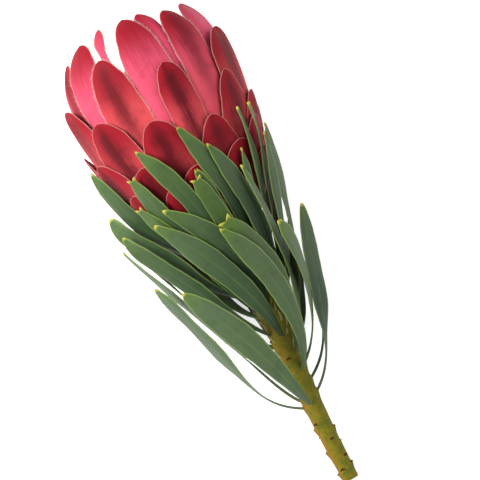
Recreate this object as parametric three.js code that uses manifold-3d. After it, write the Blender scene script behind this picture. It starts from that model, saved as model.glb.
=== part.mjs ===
// A cut protea flower that lies on its side: a woody stem that ends in the receptacle, strap-shaped leaves,
// the outer and the inner bracts of the head, and the cone of florets inside them.
// Millimetres, +Z up. +Y runs from the cut end of the stem to the head, and the origin lies on the supporting
// surface, under the middle of the flower's bounding box.
//
// Everything is laid out on the flower's own axis first. A place there is given by "along", the distance
// from the cut end, "radius", the distance from the axis, and "turn", the angle round the axis in degrees,
// 0 on the upper side and positive towards +X. The flower is then tilted until it touches the surface.
import * as THREE from "three";
import { mergeVertices } from "three/addons/utils/BufferGeometryUtils.js";
import Module from "manifold-3d";

const wasm = await Module();
wasm.setup();

// How the flower lies
const TILT = 12.1; // degrees that the axis rises from the cut end to the head
const LIFT = 4.05; // height of the axis at the cut end
const MIDDLE = { across: -2.1, along: 126.6 }; // moves the origin under the middle of the bounding box

// Stem and receptacle
const STEM_RADIUS = { cut: 4.15, wood: 4.95, shoot: 5.9 };
const WOOD_GROWN = 45; // the stem thickens up to here, and again in the young shoot that bears the leaves
const SHOOT = { from: 58, to: 92 };
const STEM_TOP = 127; // where the stem starts to widen into the receptacle
const STEM_BEND = 2.9; // how far the cut end stands to the left of the head's axis
const BEND = { from: 15, to: 95 }; // the stem is straight below and above this
const RECEPTACLE = {
  neckAlong: 129,
  neckRadius: 5.9,
  rimAlong: 138,
  rimRadius: 13,
  shoulder: 147,
  top: 149.5,
  topRadius: 10,
};
const FLARE = 0.8; // how fast the bracts' bases widen with the receptacle below its rim
const STEM_SIDES = 14;
const STEM_RINGS = 12;
const SCAR = { wide: 1.7, long: 1.5, high: 0.95, sunk: 0.2, lean: -0.35 };
const SCARS = { first: 6, last: 40, spacing: 3.1, turn: 25 }; // the fallen leaves' places on the stem
const SEAT_GAP = 0.35; // clearance between pieces that touch

// Head
const HEAD_RADIUS = 46.3;
const WIDEST = 210; // where along the axis the head is widest
const BELOW = { length: 82, power: 2.2, round: 0.55 };
const ABOVE = { length: 54, power: 3, round: 0.6 };
const GOLDEN_TURN = 137.5;
const RINGS = [84, 106, 128, 137, 146, 156, 170, 192, 222]; // where blades are cut across

// Bracts are numbered outwards along the spiral that they grow in: 0 is the one at the middle of the upper
// side, negative numbers lie further in.
const INNERMOST = -32;
const FIRST_OUTER = -10;
const OUTERMOST = 23;
const FIRST_TURN = -10; // turn of bract 0
// Where the tips lie along the axis: bract 0's tip, the step to the next one further out, how that step
// shrinks, and the highest tip, which the bracts further in than "before" stay more and more below.
const TIPS = { zero: 202.5, step: 2.2, shrinking: 0.03, highest: 256, falling: 0.6, before: -21 };
// Where the innermost bract of a set grows, how much lower the outermost one does, how far off the
// receptacle, and the least distance that the set keeps from it higher up.
const INNER_ROOTS = { from: 144, lower: 3.6, off: 1.1, least: 1.3, spread: 1.4 };
const OUTER_ROOTS = { from: 136.2, lower: 5.2, off: 2.3, least: 3.6, spread: 3.4 };
const INNER_COLLAR = { low: 139.4, high: 146, thickness: 1.5 };
const OUTER_COLLAR = { low: 129.6, high: 137, thickness: 3 };
const COLLAR_SIDES = 20;
const BRACT_THICKNESS = 0.8;
const BRACT_HALF_WIDTH = { most: 13.8, less: 8, foot: 0.3, growth: 36, least: 1.3 };
const BRACT_ROUNDING = { inner: 36, outer: 28 }; // the length in which its outline rounds to its tip
const SETTLING = 8; // the length in which a bract swings out from its root to its layer
const SET_GAP = 0.7; // how much deeper the inner bracts lie
const LAYERING = 0.12; // how fast a bract sinks under its outer neighbours below its tip
// Bracts that grew a little out of the even spiral, as [tip further up, turned further round, share wider]
const OUT_OF_STEP = {
  "-32": [-8, 0, 0],
  "-31": [-12, 0, 0],
  "-29": [-8, 0, 0],
  "-28": [-10, 20, 0.5],
  "-27": [-14, 0, 0],
  "-26": [2.6, 15.8, -0.5],
  "-25": [-16, 0, 0],
  "-24": [-12, 0, 0],
  "-23": [-7, 25, 0],
  "-22": [-13, 0, 0],
  "-21": [-2.8, 24, -0.34],
  "-20": [-15, 0, 0],
  "-19": [-6, -12, 0],
  "-18": [1, 14, -0.2],
  "-17": [-4, 0, 0],
  "-16": [8.5, -24, -0.18],
  "-15": [-14, 0, 0],
  "-13": [4.8, 0, -0.14],
  "-11": [18.5, -24, -0.28],
  "-10": [0, 7, 0],
  "-8": [3.4, 4.5, -0.37],
  "-6": [14, -29, 0],
  "-3": [0, 10, 0],
  "-2": [-3, 0, 0],
  "0": [0, 1, -0.1],
  "2": [-3, 0, 0],
  "5": [0, 4, 0],
  "8": [-2, 0, 0],
  "10": [0, 8, 0],
  "13": [-5, 0, 0],
  "18": [3, 4, 0],
};

// Florets
const FLORETS = { count: 60, top: 229, radius: 27, widest: 178, length: 26, thick: 1.7 };
const FLORET_REACH = { foot: 0.72, tip: 0.97 }; // as shares of the cone's radius
const CORE = { share: 0.9, belowTop: 10, apexBelowTop: 6, sides: 14, rings: 8 };

// Leaves, from the cut end upwards. base and tip are along the axis, turn and tipTurn round it, and the
// larger sweep is, the nearer to its tip a leaf does that turning. bulge is how far it swings out just past
// its base and rise how fast it then leaves the axis. face turns the blade.
const LEAF_THICKNESS = 0.7;
const PETIOLE_EXTRA = 0.7; // how much thicker a leaf is at its base
const LEAF_SWING = 9; // the length along the axis in which the bulge is reached
const LEAF_LAYERING = 0.06; // how much further out a leaf lies on the head for each millimetre further down
const LEAF_OUTLINE = { foot: 0.2, widest: 0.65, taper: 0.6, bluntness: 2.4, roundness: 0.62, notch: 0.9 };
const LEAF_CURVE = 30; // radius that a leaf's cross-section is bent to
const LEAF_LAYER = { least: 1.4, below: 130 }; // how far a leaf lies off the head when its base is up here
const MEETS_HEAD = { from: 129, to: 140, soft: 1.5 }; // where a leaf starts to follow the head's outline
const LEAF_STATIONS = [0, 3, 8, 16];
const LEAF_ROUNDING = 14; // the length in which its outline rounds to its tip
const LEAVES = [
  { base: 42.5, turn: -86, tip: 130, tipTurn: -80, sweep: 1, bulge: 14.2, rise: 0.298, width: 14.3, face: 18 },
  { base: 43.5, turn: -14, tip: 121.5, tipTurn: -52, sweep: 1.1, bulge: 9.1, rise: 0.36, width: 13.8, face: 25 },
  { base: 46.8, turn: -100, tip: 153.5, tipTurn: -92, sweep: 1, bulge: 3.2, rise: 0.4, width: 11, face: 20 },
  { base: 47.8, turn: 84, tip: 133.5, tipTurn: 87, sweep: 1, bulge: 9.2, rise: 0.295, width: 11.5, face: -40 },
  { base: 54.5, turn: 104, tip: 126, tipTurn: 100, sweep: 1, bulge: 12.3, rise: 0.27, width: 7, face: 0 },
  { base: 63, turn: 92, tip: 131.5, tipTurn: 39.5, sweep: 1.2, bulge: 6.8, rise: 0.397, width: 11.6, face: 8 },
  { base: 61, turn: 33, tip: 141.2, tipTurn: -3, sweep: 1.6, bulge: 9.1, rise: 0.33, width: 11, face: -5 },
  { base: 74, turn: 55, tip: 163.8, tipTurn: 28, sweep: 1.2, bulge: 8.7, rise: 0.35, width: 7, face: 30 },
  { base: 70, turn: 34, tip: 144.3, tipTurn: 2, sweep: 2, bulge: 8.8, rise: 0.33, width: 11.5, face: -5 },
  { base: 72, turn: 119, tip: 132, tipTurn: 107, sweep: 1, bulge: 9.3, rise: 0.3, width: 14, face: 0 },
  { base: 80.7, turn: 1, tip: 157.4, tipTurn: -45, sweep: 1.25, bulge: 8.4, rise: 0.36, width: 13, face: 12 },
  { base: 76, turn: -88, tip: 150, tipTurn: -90, sweep: 1, bulge: 10.6, rise: 0.4, width: 10, face: 0 },
  { base: 82, turn: 96, tip: 177, tipTurn: 61, sweep: 0.8, bulge: 10.3, rise: 0.33, width: 10, face: 0 },
  { base: 83, turn: -50, tip: 159.8, tipTurn: -68, sweep: 1, bulge: 5.5, rise: 0.54, width: 10, face: 35 },
  { base: 90, turn: 62, tip: 173.4, tipTurn: 54, sweep: 1, bulge: 8.2, rise: 0.42, width: 7, face: 0 },
  { base: 96, turn: 10, tip: 162, tipTurn: -33, sweep: 1.6, bulge: 9.1, rise: 0.38, width: 11, face: 4 },
  { base: 103, turn: -55, tip: 171, tipTurn: -77, sweep: 1, bulge: 10.1, rise: 0.56, width: 14, face: 32 },
  { base: 98, turn: 48, tip: 180.7, tipTurn: 14, sweep: 1, bulge: 10.1, rise: 0.4, width: 9, face: 0 },
  { base: 101, turn: 56, tip: 189.7, tipTurn: 53, sweep: 1, bulge: 10.1, rise: 0.4, width: 6, face: 20 },
  { base: 94, turn: -32, tip: 168.6, tipTurn: -49, sweep: 0.9, bulge: 6.6, rise: 0.34, width: 9.5, face: 0 },
  { base: 106, turn: -104, tip: 186, tipTurn: -97, sweep: 1, bulge: 10.1, rise: 0.35, width: 9, face: 0 },
  { base: 106.5, turn: 10, tip: 168.6, tipTurn: -1.5, sweep: 1, bulge: 10.1, rise: 0.42, width: 9, face: 0 },
  { base: 109, turn: 52, tip: 190, tipTurn: 43, sweep: 1, bulge: 12.1, rise: 0.4, width: 6, face: 20 },
  { base: 112, turn: -33, tip: 183, tipTurn: -39, sweep: 1, bulge: 8.1, rise: 0.36, width: 10, face: 0 },
  { base: 113, turn: 37, tip: 171.4, tipTurn: 36, sweep: 1, bulge: 12.1, rise: 0.4, width: 5, face: 15 },
  { base: 115, turn: -60, tip: 195, tipTurn: -70, sweep: 1, bulge: 10.1, rise: 0.42, width: 11, face: 25 },
  { base: 117, turn: -8, tip: 193.5, tipTurn: -25.5, sweep: 2.5, bulge: 14.1, rise: 0.4, width: 10, face: 0 },
  { base: 119, turn: 30, tip: 194.7, tipTurn: 3, sweep: 1, bulge: 14.1, rise: 0.4, width: 9, face: 0 },
  { base: 123, turn: 10, tip: 172.3, tipTurn: 1.5, sweep: 1, bulge: 8.1, rise: 0.3, width: 7, face: 0 },
];
// The leaves of the far side: each sits a step further up, at the next of these turns.
const FAR_TURNS = [170, 218, 186, 228, 177, 236, 160, 192, 222, 130, 199, 232, 166, 210];
const FAR_LEAVES = { first: 50, step: 5.2, length: 78, spread: 12 };
const FAR_SHAPE = { sweep: 1, bulge: 15, rise: 0.33, width: 11, face: 0 };
// A leaf straight below ends before the flat spot.
const FAR_TIPS = { last: 180, underneath: 148, halfAngle: 35 };
const SURFACE_GAP = 0.6; // leaves of the far side stay this far above the surface
const LOWEST_LEAF = 40; // and the more so the further up their base lies from here
const PRESSED_LAYERING = 0.07;

const radians = THREE.MathUtils.degToRad;
const smoothstep = THREE.MathUtils.smoothstep;
const random = THREE.MathUtils.seededRandom;
const smoothMax = (a, b, soft) => (a + b + Math.hypot(a - b, soft)) / 2;
const smoothMin = (a, b, soft) => -smoothMax(-a, -b, soft);

// A point from its place on the flower's own axis.
function place(along, radius, turn) {
  const left = STEM_BEND * (1 - smoothstep(along, BEND.from, BEND.to));
  const angle = radians(turn);
  return new THREE.Vector3(radius * Math.sin(angle) - left, along, radius * Math.cos(angle));
}

// The radius of the head's outline, where the tips of the bracts lie.
function headRadius(along) {
  const part = along < WIDEST ? BELOW : ABOVE;
  const share = Math.min(1, Math.abs(along - WIDEST) / part.length);
  return HEAD_RADIUS * (1 - share ** part.power) ** part.round;
}

// The distance from the axis straight down to the surface that the flower lies on.
function surfaceBelow(along) {
  return (LIFT + along * Math.sin(radians(TILT))) / Math.cos(radians(TILT));
}

function solidOf(geometry) {
  for (const name of ["normal", "uv"]) geometry.deleteAttribute(name);
  const merged = mergeVertices(geometry, 1e-4);
  const mesh = { numProp: 3, vertProperties: merged.attributes.position.array, triVerts: merged.index.array };
  mesh.triVerts = new Uint32Array(mesh.triVerts);
  return new wasm.Manifold(new wasm.Mesh(mesh));
}

function geometryOf(solid) {
  const mesh = solid.getMesh();
  const geometry = new THREE.BufferGeometry();
  geometry.setAttribute("position", new THREE.BufferAttribute(new Float32Array(mesh.vertProperties), 3));
  geometry.setIndex(new THREE.BufferAttribute(new Uint32Array(mesh.triVerts), 1));
  return geometry;
}

// The one body that joined pieces make. Hollows that the join seals are filled, and loose scraps are dropped.
function joined(parts) {
  const bodies = wasm.Manifold.union(parts).decompose();
  return bodies.reduce((largest, body) => (body.volume() > largest.volume() ? body : largest));
}

// A closed ring or body of revolution round the flower's axis, from [radius, along] points.
function turned(profile, sides) {
  const points = profile.map(([radius, along]) => new THREE.Vector2(radius, along));
  return new THREE.LatheGeometry(points, sides);
}

// A thin blade that is cut across at stations, distances along the axis from its root to its tip. middle is
// its centreline, facing the turn that it faces, and curve the radius that its cross-section is bent to, each
// by the distance along the axis. notch is how far the middle of its tip falls back, lowest how near it comes
// to the surface.
function bladeSolid(shape, across) {
  const { stations, middle, facing, halfWidth, curve, thickness, notch = 0, lowest = -9 } = shape;
  const cuts = stations.length - 1;
  const blank = new THREE.BoxGeometry(2, cuts, 2, across, cuts, 1).translate(0, cuts / 2, 0);
  const position = blank.getAttribute("position");
  for (let i = 0; i < position.count; i++) {
    const cut = Math.round(position.getY(i));
    const side = position.getX(i);
    const along = stations[cut] - (cut === cuts ? notch * (1 - Math.abs(side)) : 0);
    const tangent = middle(along + 0.5).sub(middle(along - 0.5)).normalize();
    const angle = radians(facing(along));
    const sideways = new THREE.Vector3(Math.cos(angle), 0, -Math.sin(angle));
    sideways.addScaledVector(tangent, -sideways.dot(tangent)).normalize();
    const outward = new THREE.Vector3().crossVectors(sideways, tangent);
    const radius = curve(along);
    const bend = (side * halfWidth(along)) / radius;
    const layer = radius + (position.getZ(i) * thickness(along)) / 2;
    const point = middle(along)
      .addScaledVector(sideways, layer * Math.sin(bend))
      .addScaledVector(outward, layer * Math.cos(bend) - radius);
    const clear = lowest + (position.getZ(i) > 0 ? 0 : thickness(along));
    position.setXYZ(i, point.x, point.y, Math.max(point.z, clear - surfaceBelow(point.y)));
  }
  return solidOf(blank);
}

// Stations from a root to a tip: the shared rings between them, and more where the outline rounds to the tip.
function stationsOf(root, tip, start, rounding) {
  const near = start.map((step) => root + step);
  const rings = RINGS.filter((ring) => ring > near.at(-1) + 3 && ring < tip - rounding * 0.7);
  return [...near, ...rings, tip - rounding * 0.45, tip - rounding * 0.1, tip];
}

function stemRadius(along) {
  const { cut, wood, shoot } = STEM_RADIUS;
  const woody = THREE.MathUtils.lerp(cut, wood, Math.min(1, along / WOOD_GROWN));
  return woody + (shoot - wood) * smoothstep(along, SHOOT.from, SHOOT.to);
}

// The stem with its receptacle and the scars of fallen leaves.
function stemSolid() {
  const { neckAlong, neckRadius, rimAlong, rimRadius, shoulder, top, topRadius } = RECEPTACLE;
  const profile = [[0, 0]];
  for (let ring = 0; ring < STEM_RINGS; ring++) {
    const along = (STEM_TOP * ring) / STEM_RINGS;
    profile.push([stemRadius(along), along]);
  }
  profile.push([stemRadius(STEM_TOP), STEM_TOP], [neckRadius, neckAlong]);
  profile.push([rimRadius, rimAlong], [rimRadius, shoulder], [topRadius, top], [0, top]);
  const blank = turned(profile, STEM_SIDES);
  const position = blank.getAttribute("position");
  for (let i = 0; i < position.count; i++) {
    const bent = place(position.getY(i), 0, 0);
    position.setX(i, position.getX(i) + bent.x);
  }
  let stem = solidOf(blank);
  for (let i = 0, along = SCARS.first; along < SCARS.last; i++, along += SCARS.spacing) {
    const turn = SCARS.turn - GOLDEN_TURN * i;
    const scar = new THREE.SphereGeometry(1, 6, 3).scale(SCAR.wide, SCAR.long, SCAR.high);
    const at = place(along, stemRadius(along) - SCAR.sunk, turn);
    scar.rotateX(SCAR.lean).rotateY(radians(turn)).translate(at.x, at.y, at.z);
    stem = stem.add(solidOf(scar));
  }
  return stem;
}

// Where a bract comes to the head's surface in the even spiral, along the axis, and where its tip lies there.
const steppedTip = (number, shrunk) => TIPS.zero - TIPS.step * number + TIPS.shrinking * shrunk ** 2;
const surfacing = (number) => steppedTip(number, Math.max(0, number));
const highestTip = (number) => TIPS.highest + TIPS.falling * Math.min(0, number - TIPS.before);
const evenTip = (number) => Math.min(highestTip(number), steppedTip(number, number));

// Where a bract grows from the receptacle, and the least radius that it keeps round it.
function bractRoot(number) {
  const { rimAlong, rimRadius } = RECEPTACLE;
  const inner = number < FIRST_OUTER;
  const { from, lower, off, least, spread } = inner ? INNER_ROOTS : OUTER_ROOTS;
  const [first, last] = inner ? [INNERMOST, FIRST_OUTER] : [FIRST_OUTER, OUTERMOST];
  const share = (number - first) / (last - first);
  const along = from - lower * share;
  const radius = rimRadius - FLARE * Math.max(0, rimAlong - along) + off;
  return { along, radius, least: rimRadius + least + spread * share };
}

function bractSolid(number) {
  const inner = number < FIRST_OUTER;
  const [further, around, wider] = OUT_OF_STEP[number] ?? [0, 0, 0];
  const tip = evenTip(number) + further;
  const turn = FIRST_TURN - GOLDEN_TURN * number + around;
  const root = bractRoot(number);
  const layer = (along) => {
    const sunk = LAYERING * (surfacing(number) - along) + (inner ? SET_GAP : 0);
    return smoothMax(headRadius(along) - sunk, root.least, 1);
  };
  const step = layer(root.along) - root.radius;
  const radiusAt = (along) => layer(along) - step * Math.max(0, 1 - (along - root.along) / SETTLING) ** 2;
  const { most, less, foot, growth, least } = BRACT_HALF_WIDTH;
  const full = (most - less * smoothstep(-number, 16, 28)) * (1 + wider);
  const rounding = inner ? BRACT_ROUNDING.inner : BRACT_ROUNDING.outer;
  return bladeSolid(
    {
      stations: stationsOf(root.along, tip, [0, 4], rounding),
      middle: (along) => place(along, radiusAt(along), turn),
      facing: () => turn,
      halfWidth: (along) => {
        const fromTip = Math.min(1, (tip - along) / rounding);
        const base = foot + (1 - foot) * smoothstep(along, root.along, root.along + growth);
        return Math.max(least, full * base * Math.sqrt(1 - (1 - fromTip) ** 2));
      },
      curve: radiusAt,
      thickness: () => BRACT_THICKNESS,
    },
    number < -21 ? 2 : 3,
  );
}

// A closed collar round the receptacle that the bracts of one set grow from.
function collar({ low, high, thickness }) {
  const { rimAlong, rimRadius } = RECEPTACLE;
  const inside = (along) => rimRadius - FLARE * Math.max(0, rimAlong - along) + SEAT_GAP;
  const profile = [
    [inside(low), low],
    [inside(low) + thickness, low],
    [inside(high) + thickness, high],
    [inside(high), high],
    [inside(low), low],
  ];
  return solidOf(turned(profile, COLLAR_SIDES));
}

function bractsSolid(first, last, ring) {
  const parts = [ring];
  for (let number = first; number <= last; number++) parts.push(bractSolid(number));
  return joined(parts);
}

// The cone of florets: a core and the floret tips that stand out of it.
function floretsSolid() {
  const { count, top, radius, widest, length, thick } = FLORETS;
  const base = RECEPTACLE.top + SEAT_GAP;
  const outline = (along) => {
    const share = along < widest ? (widest - along) / (widest - base + 8) : (along - widest) / (top - widest);
    return radius * Math.sqrt(Math.max(0, 1 - share ** 2));
  };
  const profile = [[0, base]];
  for (let i = 0; i <= CORE.rings; i++) {
    const along = THREE.MathUtils.lerp(base, top - CORE.belowTop, i / CORE.rings);
    profile.push([outline(along) * CORE.share, along]);
  }
  profile.push([0, top - CORE.apexBelowTop]);
  const parts = [solidOf(turned(profile, CORE.sides))];
  for (let i = 0; i < count; i++) {
    const share = Math.sqrt((i + 0.5) / count);
    const along = THREE.MathUtils.lerp(top, widest - 4, share ** 2);
    const turn = GOLDEN_TURN * i;
    const foot = place(along - length, outline(Math.max(base, along - length)) * FLORET_REACH.foot, turn);
    const tip = place(along, outline(along) * FLORET_REACH.tip, turn);
    const reach = new THREE.Vector3().subVectors(tip, foot);
    const needle = new THREE.CylinderGeometry(thick * 0.35, thick, reach.length(), 4);
    const upright = new THREE.Vector3(0, 1, 0);
    needle.applyQuaternion(new THREE.Quaternion().setFromUnitVectors(upright, reach.normalize()));
    const centre = foot.lerp(tip, 0.5);
    parts.push(solidOf(needle.translate(centre.x, centre.y, centre.z)));
  }
  return joined(parts);
}

function leafSolid({ base, turn, tip, tipTurn, sweep, bulge, rise, width, face }) {
  const { foot, widest, taper, bluntness, roundness, notch } = LEAF_OUTLINE;
  const steepness = Math.atan(bulge / LEAF_SWING + rise);
  const start = stemRadius(base) + SEAT_GAP + (LEAF_THICKNESS + PETIOLE_EXTRA) * 0.5 * Math.cos(steepness);
  const radiusAt = (along) => {
    const free = start + bulge * (1 - Math.exp(-(along - base) / LEAF_SWING)) + rise * (along - base);
    const { from, to, soft } = MEETS_HEAD;
    const layer = LEAF_LAYER.least + LEAF_LAYERING * (LEAF_LAYER.below - base);
    const hugging = smoothMin(free, HEAD_RADIUS + layer, 3);
    const onHead = headRadius(along) + layer;
    return along < from ? hugging : smoothMax(hugging, onHead, soft * smoothstep(along, from, to));
  };
  const share = (along) => (along - base) / (tip - base);
  const turnAt = (along) => turn + (tipTurn - turn) * Math.max(0, share(along)) ** sweep;
  return bladeSolid(
    {
      stations: stationsOf(base, tip, LEAF_STATIONS, LEAF_ROUNDING),
      middle: (along) => place(along, radiusAt(along), turnAt(along)),
      facing: (along) => turnAt(along) + face * smoothstep(share(along), 0.1, 0.5),
      halfWidth: (along) => {
        const grown = Math.sin((Math.PI / 2) * THREE.MathUtils.clamp(share(along) / widest, 0, 1));
        const end = Math.max(0, (share(along) - taper) / (1 - taper));
        const rounded = Math.max(0, 1 - end ** bluntness) ** roundness;
        return (width / 2) * Math.max(foot, (foot + (1 - foot) * grown) * rounded);
      },
      curve: () => LEAF_CURVE,
      thickness: (along) => LEAF_THICKNESS + PETIOLE_EXTRA * (1 - smoothstep(share(along), 0, 0.25)),
      notch,
      lowest: SURFACE_GAP + PRESSED_LAYERING * (base - LOWEST_LEAF),
    },
    2,
  );
}

function farLeaves() {
  const { first, step, length, spread } = FAR_LEAVES;
  return FAR_TURNS.map((turn, i) => {
    const base = first + step * i;
    const reach = length + spread * (random(i + 1) - 0.5);
    const limit = Math.abs(turn - 180) < FAR_TIPS.halfAngle ? FAR_TIPS.underneath : FAR_TIPS.last;
    const tip = Math.min(limit, base + reach);
    return { ...FAR_SHAPE, base, turn, tip, tipTurn: turn };
  });
}

const COLOURS = { stem: "#7f7427", leaf: "#4f6f45", outer: "#a52b38", inner: "#dd5673", florets: "#e9c9c4" };
const ROUGHNESS = { stem: 0.6, leaf: 0.55, outer: 0.5, inner: 0.5, florets: 0.9 };

const flower = new THREE.Group();
flower.rotation.x = radians(TILT);
flower.position.set(-MIDDLE.across, -MIDDLE.along, LIFT);
flower.updateMatrix();

// Takes off what would lie below the surface, so that the lowest bracts get their flat spot.
const toSurface = new THREE.Matrix4().copy(flower.matrix).invert();
const ground = new THREE.BoxGeometry(400, 400, 50).translate(0, 0, -25).applyMatrix4(toSurface);
const surface = solidOf(ground);

function add(name, solid, look) {
  const finish = { color: COLOURS[look], roughness: ROUGHNESS[look], metalness: 0 };
  const mesh = new THREE.Mesh(geometryOf(solid), new THREE.MeshStandardMaterial(finish));
  mesh.name = name;
  flower.add(mesh);
}

add("stem", stemSolid(), "stem");
add("outer_bracts", bractsSolid(FIRST_OUTER, OUTERMOST, collar(OUTER_COLLAR)).subtract(surface), "outer");
add("inner_bracts", bractsSolid(INNERMOST, FIRST_OUTER - 1, collar(INNER_COLLAR)), "inner");
add("florets", floretsSolid(), "florets");
[...LEAVES, ...farLeaves()].forEach((leaf, i) => {
  add(`leaf_${String(i + 1).padStart(2, "0")}`, leafSolid(leaf), "leaf");
});

const part = new THREE.Group();
part.add(flower);

export default part;
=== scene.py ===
"""Looks of a cut protea flower that lies on its side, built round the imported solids.

Lengths are in millimetres on the flower's own axis until a mesh is finished. A place there is given by
"along", the distance from the cut end of the stem, "radius", the distance from the axis, and "turn", the
angle round the axis in degrees, 0 on the upper side and positive towards +X. Finished meshes are in metres.
"""

import math

import bmesh
import bpy
import numpy as np
from bpy.props import FloatProperty, FloatVectorProperty, IntProperty, PointerProperty
from mathutils import Matrix, Vector


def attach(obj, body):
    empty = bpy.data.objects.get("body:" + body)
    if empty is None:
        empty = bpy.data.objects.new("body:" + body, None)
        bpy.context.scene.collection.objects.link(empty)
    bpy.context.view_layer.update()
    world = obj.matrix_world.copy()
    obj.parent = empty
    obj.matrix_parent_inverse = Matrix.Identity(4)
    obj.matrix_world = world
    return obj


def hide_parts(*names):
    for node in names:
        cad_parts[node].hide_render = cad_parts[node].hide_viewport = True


bl_info = {
    "name": "Protea flower",
    "version": (1, 0, 0),
    "blender": (4, 5, 0),
    "location": "3D View > Sidebar > Protea",
    "description": "Builds the stem, leaves, bracts and florets of a cut protea flower",
    "category": "Object",
}

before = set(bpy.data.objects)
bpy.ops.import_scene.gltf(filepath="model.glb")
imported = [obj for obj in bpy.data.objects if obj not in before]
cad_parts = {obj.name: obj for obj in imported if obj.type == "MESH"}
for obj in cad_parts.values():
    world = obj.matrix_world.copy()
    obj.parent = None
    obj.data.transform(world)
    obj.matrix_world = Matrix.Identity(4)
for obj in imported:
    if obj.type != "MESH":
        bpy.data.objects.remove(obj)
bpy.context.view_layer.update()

# How the flower lies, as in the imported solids
TILT = math.radians(12.1)
LIFT = 4.05
MIDDLE_ACROSS = -2.1
MIDDLE_ALONG = 126.6
TO_ROW = (
    Matrix.Scale(0.001, 4)
    @ Matrix.Translation((-MIDDLE_ACROSS, -MIDDLE_ALONG, LIFT))
    @ Matrix.Rotation(TILT, 4, "X")
)
TURN_TO_ROW = TO_ROW.to_3x3().normalized()

# Stem and receptacle
STEM_CUT_RADIUS = 4.15
STEM_WOOD_RADIUS = 4.95
STEM_WOOD_END = 45
SHOOT_RADIUS = 5.9
SHOOT_SWELLS = (58, 92)
STEM_TOP = 127
STEM_BEND = 2.9
STEM_BENDS = (15, 95)
STEM_STEP = 0.75
STEM_SIDES = 56
RIM_ALONG = 138
RIM_RADIUS = 13
RIM_SLOPE = 0.8
# Rings above and below the stem, as (radius, along)
RECEPTACLE_OUTLINE = [
    (5.9, 129), (9.3, 133.6), (13, 138), (13.2, 142), (13, 147), (10, 149.5), (4, 150), (0.01, 150),
]
CUT_END_OUTLINE = [(share * STEM_CUT_RADIUS, 0.05) for share in (0.1, 0.45, 0.8)]
# Swellings of the bark, as (height, reach above, reach below, half width), and the dark spots over them
LEAF_SWELLING = (0.75, 0.9, 3.4, 1.5)
LEAF_SPOT = (0.35, 0.7, 0.9, 1.6)
SCAR_SWELLING = (0.8, 0.7, 2.6, 1.4)
SCAR_SPOT = (1, 0.45, 0.85, 1.15)
# Scars of fallen leaves, as (along, turn)
SCARS = [
    (4.7, -85), (6.3, -19), (7.7, 72), (12.3, 42), (16.9, -85), (22.5, 11), (27.5, 85), (30, -85),
    (32.3, -40), (67.8, -17), (79.1, -80), (9.5, 150), (14.5, -150), (19.5, 118), (25.2, -128), (35.5, 160),
    (38.5, -165),
]
# Small dry scales on the young shoot, as (along, turn, length)
SCALES = [
    (67, 72, 5), (71, 40, 6), (76, 71, 8), (79, 38, 4), (83, 66, 6), (86, 42, 7), (92, 38, 5), (95, 74, 6),
    (70, -70, 5), (78, -52, 4), (88, -75, 6), (64, 150, 5), (73, -140, 5), (84, 130, 6), (93, -110, 5),
]

# The head's outline, with the (reach, sharpness, fullness) of its parts below and above its widest place
HEAD_RADIUS = 46.3
WIDEST = 210
BELOW_WIDEST = (82, 2.2, 0.55)
ABOVE_WIDEST = (54, 3, 0.6)

# The spiral of bracts
GOLDEN_TURN = 137.5
FIRST_TURN = -10
INNERMOST = -32
FIRST_OUTER = -10
OUTERMOST = 23
FIRST_TIP = 202.5
TIP_STEP = 2.2
TIP_EASING = 0.03
HIGHEST_TIP = 256
BRACT_HALF_WIDTH = 13.8
INNERMOST_NARROWER = 8
# Bracts that grew a little out of the even spiral, as (tip further up, turned further round, share wider)
OUT_OF_STEP = {
    -32: (-8, 0, 0), -31: (-12, 0, 0), -29: (-8, 0, 0), -28: (-10, 20, 0.5), -27: (-14, 0, 0),
    -26: (2.6, 15.8, -0.5), -25: (-16, 0, 0), -24: (-12, 0, 0), -23: (-7, 25, 0), -22: (-13, 0, 0),
    -21: (-2.8, 24, -0.34), -20: (-15, 0, 0), -19: (-6, -12, 0), -18: (1, 14, -0.2), -17: (-4, 0, 0),
    -16: (8.5, -24, -0.18), -15: (-14, 0, 0), -13: (4.8, 0, -0.14), -11: (18.5, -24, -0.28),
    -10: (0, 7, 0), -8: (3.4, 4.5, -0.37), -6: (14, -29, 0), -3: (0, 10, 0), -2: (-3, 0, 0),
    0: (0, 1, -0.1), 2: (-3, 0, 0), 5: (0, 4, 0), 8: (-2, 0, 0), 10: (0, 8, 0), 13: (-5, 0, 0), 18: (3, 4, 0),
}
# The tips of pointed bracts, as (length of the rounded part, bluntness), and that length in blunt ones
BRACT_BLUNTNESS = 2.4
POINTED = (-3, 5, 10)
POINTED_TIP = (38, 1.7)
BLUNT = {-6: 20, -11: 24, -16: 30, -18: 18, -19: 11, -21: 21, -26: 8}
BENT = {-26: -2}
WAISTED = -26
# How much shorter the crimson tip of a bract is, in millimetres
PINK_TIPS = {-19: 14, -21: 8, -26: 14}
# How red an inner bract is between its pink foot and its crimson tip, and how dark its middle
REDNESS = {
    -11: 0.5, -12: 0.6, -13: 0.85, -14: 0.5, -15: 0.5, -16: 0.25, -18: 0.2, -19: 0.1, -21: 0.15, -23: 0.6,
    -26: 0.1,
}
DARKNESS = {
    -3: 0.8, -5: 0.95, -6: 0.8, -8: 0.95, -10: 0.6, -11: 0.55, -13: 0.8, -16: 0.1, -18: 0.08, -19: 0.05,
    -21: 0.05, -23: 0.5, -26: 0.05, 0: 0.95, 5: 0.75, 8: 0.9,
}

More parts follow.
